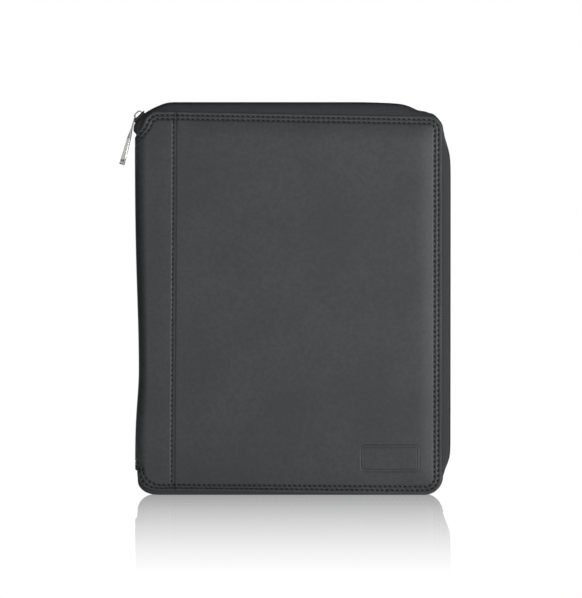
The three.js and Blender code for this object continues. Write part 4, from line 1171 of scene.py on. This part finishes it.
# %% Slider piece
def joined(parts):
    """Several closed shapes as one set of points and quads; each is turned to face out by itself."""
    points, quads, count = [], [], 0
    for shape, faces in parts:
        shape = np.asarray(shape, float).reshape(-1, 3)
        points.append(shape)
        quads.append(facing_out(shape, faces) + count)
        count += len(shape)
    return np.concatenate(points), np.concatenate(quads)


def swept(path, across, section):
    """A closed bar: a section's eight points (across, out) carried along a path of places in the plane of the
    zip."""
    direction = np.gradient(path, axis=0)
    direction /= np.linalg.norm(direction, axis=1)[:, None]
    out = stacked(-direction[:, 1], direction[:, 0])
    flat = path[:, None] + section[None, :, 1:2] * out[:, None]
    return closed_tube(stacked(flat[..., 0], across + section[:, 0], flat[..., 1]),
                       [[0, 1, 2, 3], [0, 3, 4, 7], [4, 5, 6, 7]])


def bar_section(half_width, half_height, chamfer):
    """Eight corners of a bar with its four edges chamfered."""
    w, h, c = half_width, half_height, chamfer
    lower = [(-w, -h + c), (-w + c, -h), (w - c, -h), (w, -h + c)]
    return np.array(lower + [(w, h - c), (w - c, h), (-w + c, h), (-w, h - c)])


parts = []
for bottom, top, dome, drop in ((CHANNEL_TOP, CHANNEL_TOP + PLATE, 0.12, NOSE_DROP),
                                (CHANNEL_BOTTOM, CHANNEL_BOTTOM - PLATE, -0.1, 0)):
    outer, inner = plate_sheet(bottom, top, dome, 0.35, drop)
    parts.append((np.stack([outer, inner]), sheet_quads(*outer.shape[:2])))
wall_path = stacked(np.linspace(-SLIDER_NOSE + 1.2, SLIDER_REAR - 1.2, 12), 1.75)
for side in (-1, 1):
    parts.append(swept(wall_path, side * (SLIDER_HALF - 0.62), bar_section(0.55, 1.0, 0.25)))
post_path = stacked(np.linspace(-SLIDER_NOSE + 0.3, -SLIDER_NOSE + 2.7, 4), 0.6)
parts.append(swept(post_path, 0, bar_section(1.0, 1.9, 0.3)))
points, quads = joined(parts)
slider_piece = add_piece("zip_slider", on_slider(points), quads, slider_finish, "dark_metal", sharp=35)
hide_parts("slider_body")
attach(slider_piece, "slider")

# %% [markdown]
# ## The bail and the pull
# The bail is a nickel-plated bridge on the slider, and the pull hangs from it. The pull is a flat bar with an
# eye at its upper end. It grows wider to a square end, turns about its own length to face the front, and has
# a groove down its middle on both faces, which keeps the bright metal from looking like a plain strip.

# %% Bail and pull
BAIL_LENGTH = 8.4
BAIL_RISE = 2.95
BAIL_BAR = 0.5
PIVOT = joint_mm("pull_swing")
PULL_HANG = math.radians(15.6)
PULL_TWIST = math.radians(50)
PULL_LENGTH = 43.8
PULL_EYE = 3.3



def squared(share, power):
    """A sine or cosine raised to a power below one, which turns a circle into a rounded rectangle."""
    return np.sign(share) * np.abs(share) ** power


turn = np.linspace(math.pi, 0, 31)
bail_middle = -SLIDER_NOSE + NOSE_SLOPE + BAIL_LENGTH / 2
arch_x = bail_middle + (BAIL_LENGTH / 2 - BAIL_BAR) * squared(np.cos(turn), 0.55)
arch_z = CHANNEL_TOP + PLATE - 0.1 + BAIL_RISE * np.abs(np.sin(turn)) ** 0.6
points, quads = swept(stacked(arch_x, arch_z), 0, bar_section(0.9, BAIL_BAR, 0.3))
bail_piece = add_piece("bail", on_slider(points), quads, nickel_finish, "silver_metal", sharp=50)
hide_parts("slider_bail")
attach(bail_piece, "slider")

# %% [markdown]
# ## The pull
# The pull's blade is a stack of rings of sixteen points, so its taper, its groove and its twist are three
# short formulas of the distance down the blade. The eye is a round bar bent into a rounded rectangle.

# %% Pull
def on_pull(points):
    """From the pull's directions (x out of its blade, y across, z up its length) to the folder's: turned by
    the hang about y, and placed at its pivot."""
    x, y, z = points[..., 0], points[..., 1], points[..., 2]
    cos, sin = math.cos(PULL_HANG), math.sin(PULL_HANG)
    return stacked(PIVOT[0] + x * cos + z * sin, y, PIVOT[2] - x * sin + z * cos)


def pull_blade():
    """Rings of sixteen points down the blade. The half width grows evenly, the groove is a shallow step in
    both faces between a quarter and nearly the end, and each ring is turned by a smooth step of the twist."""
    share = np.concatenate([[0, 0.01], np.linspace(0.03, 0.985, 46), [1]])
    z = -(PULL_EYE + share * (PULL_LENGTH - PULL_EYE))
    width = 1.25 + 1.65 * share - 0.25 * smooth(0.985, 1, share)
    thick = 0.5 + 0.2 * smooth(0, 0.2, share) - 0.15 * smooth(0.985, 1, share)
    groove = 0.28 * smooth(0.1, 0.16, share) * (1 - smooth(0.9, 0.95, share))
    rim = np.array([-1, -0.9, -0.42, -0.3, 0.3, 0.42, 0.9, 1])
    rise = np.array([0.55, 1, 1, 0, 0, 1, 1, 0.55])
    across = np.concatenate([rim, rim[::-1]])
    face = np.concatenate([np.ones(8), -np.ones(8)])
    lift = np.concatenate([rise, rise[::-1]])
    x = face * (thick[:, None] * np.maximum(lift, 0.55) - groove[:, None] * (lift == 0) * 0.6)
    x = np.where(lift == 0, face * (thick[:, None] - groove[:, None]), x)
    y = width[:, None] * across
    angle = PULL_TWIST * smooth(0.12, 0.5, share)[:, None]
    rings = stacked(x * np.cos(angle) - y * np.sin(angle), x * np.sin(angle) + y * np.cos(angle), z[:, None])
    return closed_tube(rings, [[k, k + 1, 14 - k, 15 - k] for k in range(7)])


def pull_eye():
    """The eye: a round bar carried round a rounded rectangle that stands across the pull."""
    angle = np.linspace(0, 2 * math.pi, 28, endpoint=False)
    y = 1.85 * squared(np.cos(angle), 0.6)
    z = -1.75 + 1.75 * squared(np.sin(angle), 0.6)
    tube = np.linspace(0, 2 * math.pi, 8, endpoint=False)
    ring = stacked(np.cos(angle), np.sin(angle))
    grown = 0.5 * np.cos(tube)
    points = stacked(0.5 * np.sin(tube), y[:, None] + ring[:, :1] * grown, z[:, None] + ring[:, 1:] * grown)
    closed = np.concatenate([points, points[:, :1]], 1)
    return closed, grid_quads(28, 9, loop=True)


points, quads = joined([pull_blade(), pull_eye()])
pull_piece = add_piece("pull", on_pull(points), quads, nickel_finish, "silver_metal", sharp=40, merge=True)
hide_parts("pull_tab")
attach(pull_piece, "pull")

# %% [markdown]
# ## Foam and boards
# Under each panel lies a thin foam pad on a stiff board. Nothing of them shows on the closed folder, but the
# crown of the leather comes from the pad. The boards keep the model's own shape and take the finish of grey
# board.

# %% Foam pads and boards
for side, half, _, cover in SIDES:
    low, high = box_mm(f"{half}_padding")
    u, v = np.meshgrid(np.linspace(0, 1, 40), np.linspace(0, 1, 50), indexing="ij")
    x = low[0] + 1 + (high[0] - low[0] - 2) * u
    z = low[2] + 1 + (high[2] - low[2] - 2) * v
    top = np.abs(low[1] if side < 0 else high[1])
    edge = np.minimum.reduce([x - low[0], high[0] - x, z - low[2], high[2] - z])
    slope_cut = np.clip((z - 300) - (x - 8) * 1.2, 0, None)
    swell = 0.7 * smooth(0, 15, edge - slope_cut)
    outer = stacked(x, side * (top - 0.5 + swell), z)
    inner = stacked(x, side * (top - 1.4), z)
    pad = add_sheet(f"foam_{half}", outer, inner, foam_finish, "foam")
    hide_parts(f"{half}_padding")
    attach(pad, cover)
for name in ("front_board", "back_board"):
    board = frame["nodes"][name]
    board.data.materials.clear()
    board.data.materials.append(board_finish)


def spine_sheet(name, width, foot, top, x, thick, material, slot):
    """A flat strip inside the spine that follows the spine's bow where it comes inwards."""
    y, z = np.meshgrid(np.linspace(-width, width, 12), np.linspace(foot, top, 60), indexing="ij")
    face = x + spine_bow(z).clip(0, None)
    piece = add_sheet(name, stacked(face - thick / 2, y, z), stacked(face + thick / 2, y, z),
                      material, slot, uv=stacked(y, z))
    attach(piece, "spine")
    return piece


SPINE_BOARD_X = 3.1
SPINE_LINING_X = 4.2
low, high = box_mm("spine_stiffener")
strip = spine_sheet("spine_board", high[1], low[2], high[2], SPINE_BOARD_X, 1.0, board_finish, "board")
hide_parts("spine_stiffener")

# %% [markdown]
# ## Linings
# A black twill lining is glued over each board and sewn in with the zip's tape. It is a shallow tray: the rim
# lies a little lower than the floor, because the board lifts the floor. Columns of points run from the
# outline's lower edge to its upper one, and the distance from the outline gives the depth. Both rows of the
# cover's stitches come through the rim. A third strip lies on the spine.

# %% Linings
LINING_THICKNESS = 0.7
LINING_LEFT = 7.2
LINING_INSET = 1.6
RIM_DEPTH = 3.45
FLOOR_DEPTH = 6.05


def add_lining(name, side, replaced, body):
    """The lining of a cover: rim, wall and floor as one sheet."""
    near = np.array([0, 1.5, 3.5, 4.9, 5.3, 5.7, 6.1, 6.6, 7.6, 10])
    under = rounded_outline(LINING_INSET)
    right = COVER_RIGHT - LINING_INSET - 0.05
    columns = np.concatenate([LINING_LEFT + np.array([0, 0.5, 0.9, 1.2, 1.5, 1.9, 2.4, 4]),
                              np.linspace(LINING_LEFT + 7, right - 14, 60), right - near[::-1]])
    grid = columns_between(columns, under, near, 70)
    x, z = grid[..., 0], grid[..., 1]
    distance = nearest(grid.reshape(-1, 2), under).reshape(x.shape)
    level = smooth(4.7, 6.6, distance) * smooth(LINING_LEFT + 0.5, LINING_LEFT + 1.9, x)
    depth = RIM_DEPTH + (FLOOR_DEPTH - RIM_DEPTH) * level
    faces = [stacked(x, side * (HALF - depth - shift), z)
             for shift in (-LINING_THICKNESS / 2, LINING_THICKNESS / 2)]
    piece = add_sheet(name, *faces, lining_cloth, "lining", uv=grid)
    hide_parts(*replaced)
    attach(piece, body)


for side, half, _, cover in SIDES:
    add_lining(f"lining_{half}", side, [f"{half}_lining"], cover)
    inner = edge_stitches[:, 0] > LINING_LEFT + 3
    sewn = add_stitches(f"lining_stitches_{half}", edge_stitches[inner], edge_directions[inner],
                        np.full(inner.sum(), RIM_DEPTH + LINING_THICKNESS / 2 + 0.05), side, inside=True)
    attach(sewn, cover)
low, high = box_mm("spine_lining")
strip = spine_sheet("lining_spine", high[1], low[2], high[2], SPINE_LINING_X, LINING_THICKNESS, lining_cloth,
                    "lining")
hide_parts("spine_lining")

# %% [markdown]
# ## Pockets
# The pockets are microfibre suede. Each is sewn down on three sides and open at the top, where the suede is
# folded over into a hem. The document pocket and the pad's panel are sewn to the lining, and three card
# pockets step down the document pocket's face. A pocket is one sheet over a plain grid in x and z, pulled
# down to its seat at the sewn sides, with a row of finer stitches along them and one under the hem.

# %% Pockets
POCKET_THICKNESS = 0.6
HEM = 7
SEWN_INSET = 2.0
SMALL_PITCH = 3.2


def add_pocket(name, side, node, seat, body):
    """A pocket over the box of its node. seat is how much deeper its sewn sides lie than its face."""
    low, high = box_mm(node)
    width, height = high[0] - low[0], high[2] - low[2]
    ends = np.array([0, 0.3, 0.8, 1.5, 2.5, 4])
    across = np.concatenate([ends, np.linspace(6, width - 6, 40), width - ends[::-1]])
    fold = height - HEM
    up = np.concatenate([ends, np.linspace(6, fold - 2, 40), [fold - 0.5, fold, fold + 0.4, fold + 2],
                         height - np.array([2.5, 1, 0.4, 0])])
    u, v = np.meshgrid(across, up, indexing="ij")
    edge = np.minimum.reduce([u, width - u, v])
    face = (np.abs(low[1]) if side > 0 else np.abs(high[1])) + POCKET_THICKNESS / 2
    middle = face + seat * (1 - smooth(0.3, 3.2, edge))
    hem = 0.2 * smooth(fold - 0.5, fold + 0.4, v) * smooth(height, height - 0.8, v)
    rounded = 0.22 * np.clip(1 - np.minimum(edge, height - v) / 0.8, 0, 1) ** 2
    places = [low[0] + u, low[2] + v]
    outer = stacked(places[0], side * (middle + POCKET_THICKNESS / 2 - rounded), places[1])
    inner = stacked(places[0], side * (middle - POCKET_THICKNESS / 2 - hem + rounded), places[1])
    piece = add_sheet(name, outer, inner, suede_finish, "pocket_suede")
    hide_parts(node)
    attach(piece, body)
    x0, x1 = low[0] + SEWN_INSET, high[0] - SEWN_INSET
    z0, z1 = low[2] + SEWN_INSET, high[2] - 1.5
    sides = walk(np.array([(x0, z1), (x0, z0), (x1, z0), (x1, z1)]), SMALL_PITCH)
    under_hem = walk(np.array([(x0 + 3, low[2] + fold + 1.2), (x1 - 3, low[2] + fold + 1.2)]), SMALL_PITCH)
    depth = HALF - face + POCKET_THICKNESS / 2
    pulled = seat * (1 - smooth(0.3, 3.2, SEWN_INSET))
    return [(*sides, depth - pulled), (*under_hem, depth + 0.2)]


rows = {-1: [], 1: []}
rows[-1] += add_pocket("pocket_document", -1, "document_pocket", 0.7, "front_cover")
for number in (1, 2, 3):
    rows[-1] += add_pocket(f"pocket_card_{number}", -1, f"card_pocket_{number}", 0.05, "front_cover")
rows[1] += add_pocket("pocket_pad", 1, "pad_panel", 0.7, "back_cover")
for side, half, _, cover in SIDES:
    places, directions = (np.concatenate([row[k] for row in rows[side]]) for k in (0, 1))
    depth = np.concatenate([np.full(len(row[0]), row[2]) for row in rows[side]])
    sewn = add_stitches(f"pocket_stitches_{half}", places, directions, depth, side, inside=True)
    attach(sewn, cover)

# %% [markdown]
# ## The pen loop
# A strap of thinner leather makes an oval loop for a pen beside the spine, sewn to the back lining. It is a
# tube of two parameters: the angle round the oval, and the height, with both rims rounded.

# %% Pen loop
LOOP_WALL = 0.8

low, high = box_mm("pen_loop")
centre = (low + high) / 2
turn = np.linspace(0, 2 * math.pi, 56, endpoint=False)
height = np.concatenate([[0, 0.15, 0.4, 0.9], np.linspace(2, high[2] - low[2] - 2, 14),
                         high[2] - low[2] - np.array([0.9, 0.4, 0.15, 0])])
rim = 0.25 * np.clip(1 - np.minimum(height, height[::-1]) / 0.9, 0, 1) ** 2
faces = []
for inset, sign in ((0, -1), (LOOP_WALL, 1)):
    radius_x = (high[0] - low[0]) / 2 - inset + sign * rim
    radius_y = (high[1] - low[1]) / 2 - inset + sign * rim
    faces.append(stacked(centre[0] + np.outer(np.cos(turn), radius_x),
                         centre[1] + np.outer(np.sin(turn), radius_y), low[2] + height))
pen_piece = add_sheet("loop_for_pen", *faces, loop_leather, "loop_leather", loop=True)
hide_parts("pen_loop")
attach(pen_piece, "back_cover")

# %% [markdown]
# ## The floor, the room and the light
# The folder stands on glossy white acrylic in a white studio. The mirror image under it fades with the
# distance from the folder, which the floor's own coordinates give. To the camera the floor and the backdrop
# are pure white. Light meets a different room: a bright band at the height of the horizon and a dim ceiling,
# so that the leather shows its curves.

# %% Floor
MIRROR = 0.76
MIRROR_REACH = 0.81
MIRROR_FADE = 1.22
ROOM_BAND = 0.1
ROOM_DIM = 0.06
FLOOR_GLOW = 0.4
FLOOR_WHITE = 0.8
FLOOR_HALF = 4.0
WHITE = (1, 1, 1, 1)


def seen_only(tree):
    """1 for rays that show the background: from the camera and from the floor's perfect mirror; else 0."""
    path = add_node(tree, "LightPath").outputs
    rays = [path["Is Camera Ray"], path["Is Singular Ray"]]
    return add_node(tree, "Math", rays, operation="MAXIMUM").outputs[0]


def floor_material():
    """White acrylic: pure white to the camera, a glowing white diffuse to the light, and a mirror over both,
    weaker away from the folder and where the look is steep."""
    made = bpy.data.materials.new("white_acrylic_floor")
    tree = empty_tree(made)
    white = add_node(tree, "BsdfDiffuse", {"Color": (FLOOR_WHITE, FLOOR_WHITE, FLOOR_WHITE, 1)}).outputs[0]
    shown, bounce = (add_node(tree, "Emission", {"Color": WHITE, "Strength": strength}).outputs[0]
                     for strength in (1.0, FLOOR_GLOW))
    lit = add_node(tree, "AddShader", [white, bounce]).outputs[0]
    base = add_node(tree, "MixShader", [seen_only(tree), lit, shown]).outputs[0]
    mirror = add_node(tree, "BsdfGlossy", {"Color": WHITE, "Roughness": 0.0}).outputs[0]
    place = add_node(tree, "SeparateXYZ", [add_node(tree, "TexCoord").outputs["Object"]]).outputs
    beyond = []
    for axis, half_size in ((0, COVER_RIGHT / 2000), (1, HALF / 1000)):
        far = add_node(tree, "Math", [place[axis]], operation="ABSOLUTE").outputs[0]
        beyond.append(add_node(tree, "Math", [far, half_size], operation="SUBTRACT").outputs[0])
    away = add_node(tree, "Math", beyond, operation="MAXIMUM").outputs[0]
    fade = add_node(tree, "MapRange", {"Value": away, "From Min": 0.0, "From Max": MIRROR_REACH,
                                       "To Min": 1.0, "To Max": 0.0}).outputs[0]
    near = add_node(tree, "Math", [fade, MIRROR_FADE], operation="POWER").outputs[0]
    slant = add_node(tree, "LayerWeight", {"Blend": 0.5}).outputs["Facing"]
    gloss = add_node(tree, "Math", [slant, 2.0], operation="POWER").outputs[0]
    weakened = add_node(tree, "Math", [near, MIRROR], operation="MULTIPLY").outputs[0]
    share = add_node(tree, "Math", [weakened, gloss], operation="MULTIPLY").outputs[0]
    surface = add_node(tree, "MixShader", [share, base, mirror]).outputs[0]
    add_node(tree, "OutputMaterial", {"Surface": surface})
    return made


def stage_sheet(name, corners, material):
    """One quad of the stage."""
    mesh = bpy.data.meshes.new(name)
    mesh.from_pydata(corners, [], [(0, 1, 2, 3)])
    mesh.materials.append(material)
    made = bpy.data.objects.new(name, mesh)
    bpy.context.scene.collection.objects.link(made)
    return made


stage_sheet("floor", [(x * FLOOR_HALF, y * FLOOR_HALF, 0) for x, y in ((-1, -1), (1, -1), (1, 1), (-1, 1))],
            floor_material())

# %% [markdown]
# ## The black card and the room
# A photographer sets a black card beside a dark edge that has to stay dark. Neither the camera nor the
# floor's mirror sees it. The room's light depends on the height of the direction it comes from.

# %% Card and room
CARD_X, CARD_NEAR, CARD_FAR, CARD_HIGH = -0.42, -0.75, 0.4, 0.34
card_surface, card_tree, card_shader = new_material("black_card", Roughness=0.9, Base_Color=linear("#050505"))
clear = add_node(card_tree, "BsdfTransparent").outputs[0]
card_mix = add_node(card_tree, "MixShader", [seen_only(card_tree), card_shader.outputs[0], clear]).outputs[0]
card_tree.links.new(card_mix, card_tree.nodes["Material Output"].inputs["Surface"])
card_foot = [(CARD_X, CARD_NEAR, 0), (CARD_X, CARD_FAR, 0)]
card_top = [(CARD_X, CARD_FAR, CARD_HIGH), (CARD_X, CARD_NEAR, CARD_HIGH)]
card = stage_sheet("black_card", card_foot + card_top, card_surface)
card.visible_camera = False

world = bpy.data.worlds.new("studio")
bpy.context.scene.world = world
sky = empty_tree(world)
way = add_node(sky, "SeparateXYZ", [add_node(sky, "TexCoord").outputs["Generated"]]).outputs[2]
room = add_node(sky, "MapRange", {"Value": way, "From Min": ROOM_BAND, "From Max": 2.5 * ROOM_BAND,
                                  "To Min": 1.0, "To Max": ROOM_DIM}).outputs[0]
level = add_node(sky, "Mix", {"Factor": seen_only(sky), "A": room, "B": 1.0}).outputs[0]
light = add_node(sky, "Background", {"Color": WHITE, "Strength": level}).outputs[0]
add_node(sky, "OutputWorld", {"Surface": light})

# %% [markdown]
# ## The lamps
# Soft boxes are square area lamps. One large one low at the right of the camera models the cover, weaker ones
# at the left and beside the spine fill it, one lights the back, and a small one lies in the pull's mirror
# direction.

# %% Lamps
def add_lamp(name, place, aim, size, power):
    """A square soft box at a place in metres, turned to a point."""
    data = bpy.data.lights.new(name, "AREA")
    data.size = size
    data.energy = power
    lamp = bpy.data.objects.new(name, data)
    bpy.context.scene.collection.objects.link(lamp)
    lamp.visible_camera = False
    lamp.location = place
    lamp.rotation_euler = (Vector(aim) - Vector(place)).to_track_quat("-Z", "Y").to_euler()


add_lamp("soft_box_right", (1.35, -1.35, 0.06), (0, 0, 0.1), 0.8, 28.5)
add_lamp("soft_box_left", (-0.6, -1.1, 0.04), (0, 0, 0.08), 0.4, 3.2)
add_lamp("soft_box_side", (-1.5, -0.3, 0.2), (-0.14, 0, 0.15), 0.8, 2.3)
add_lamp("soft_box_back", (0.7, 1.8, 0.6), (0, 0, 0.17), 0.9, 14)
add_lamp("pull_card", (-0.44, -0.07, 0.385), (-0.137, 0, 0.31), 0.14, 0.045)
bpy.context.scene.view_settings.view_transform = "Standard"

# %% The json module
import json
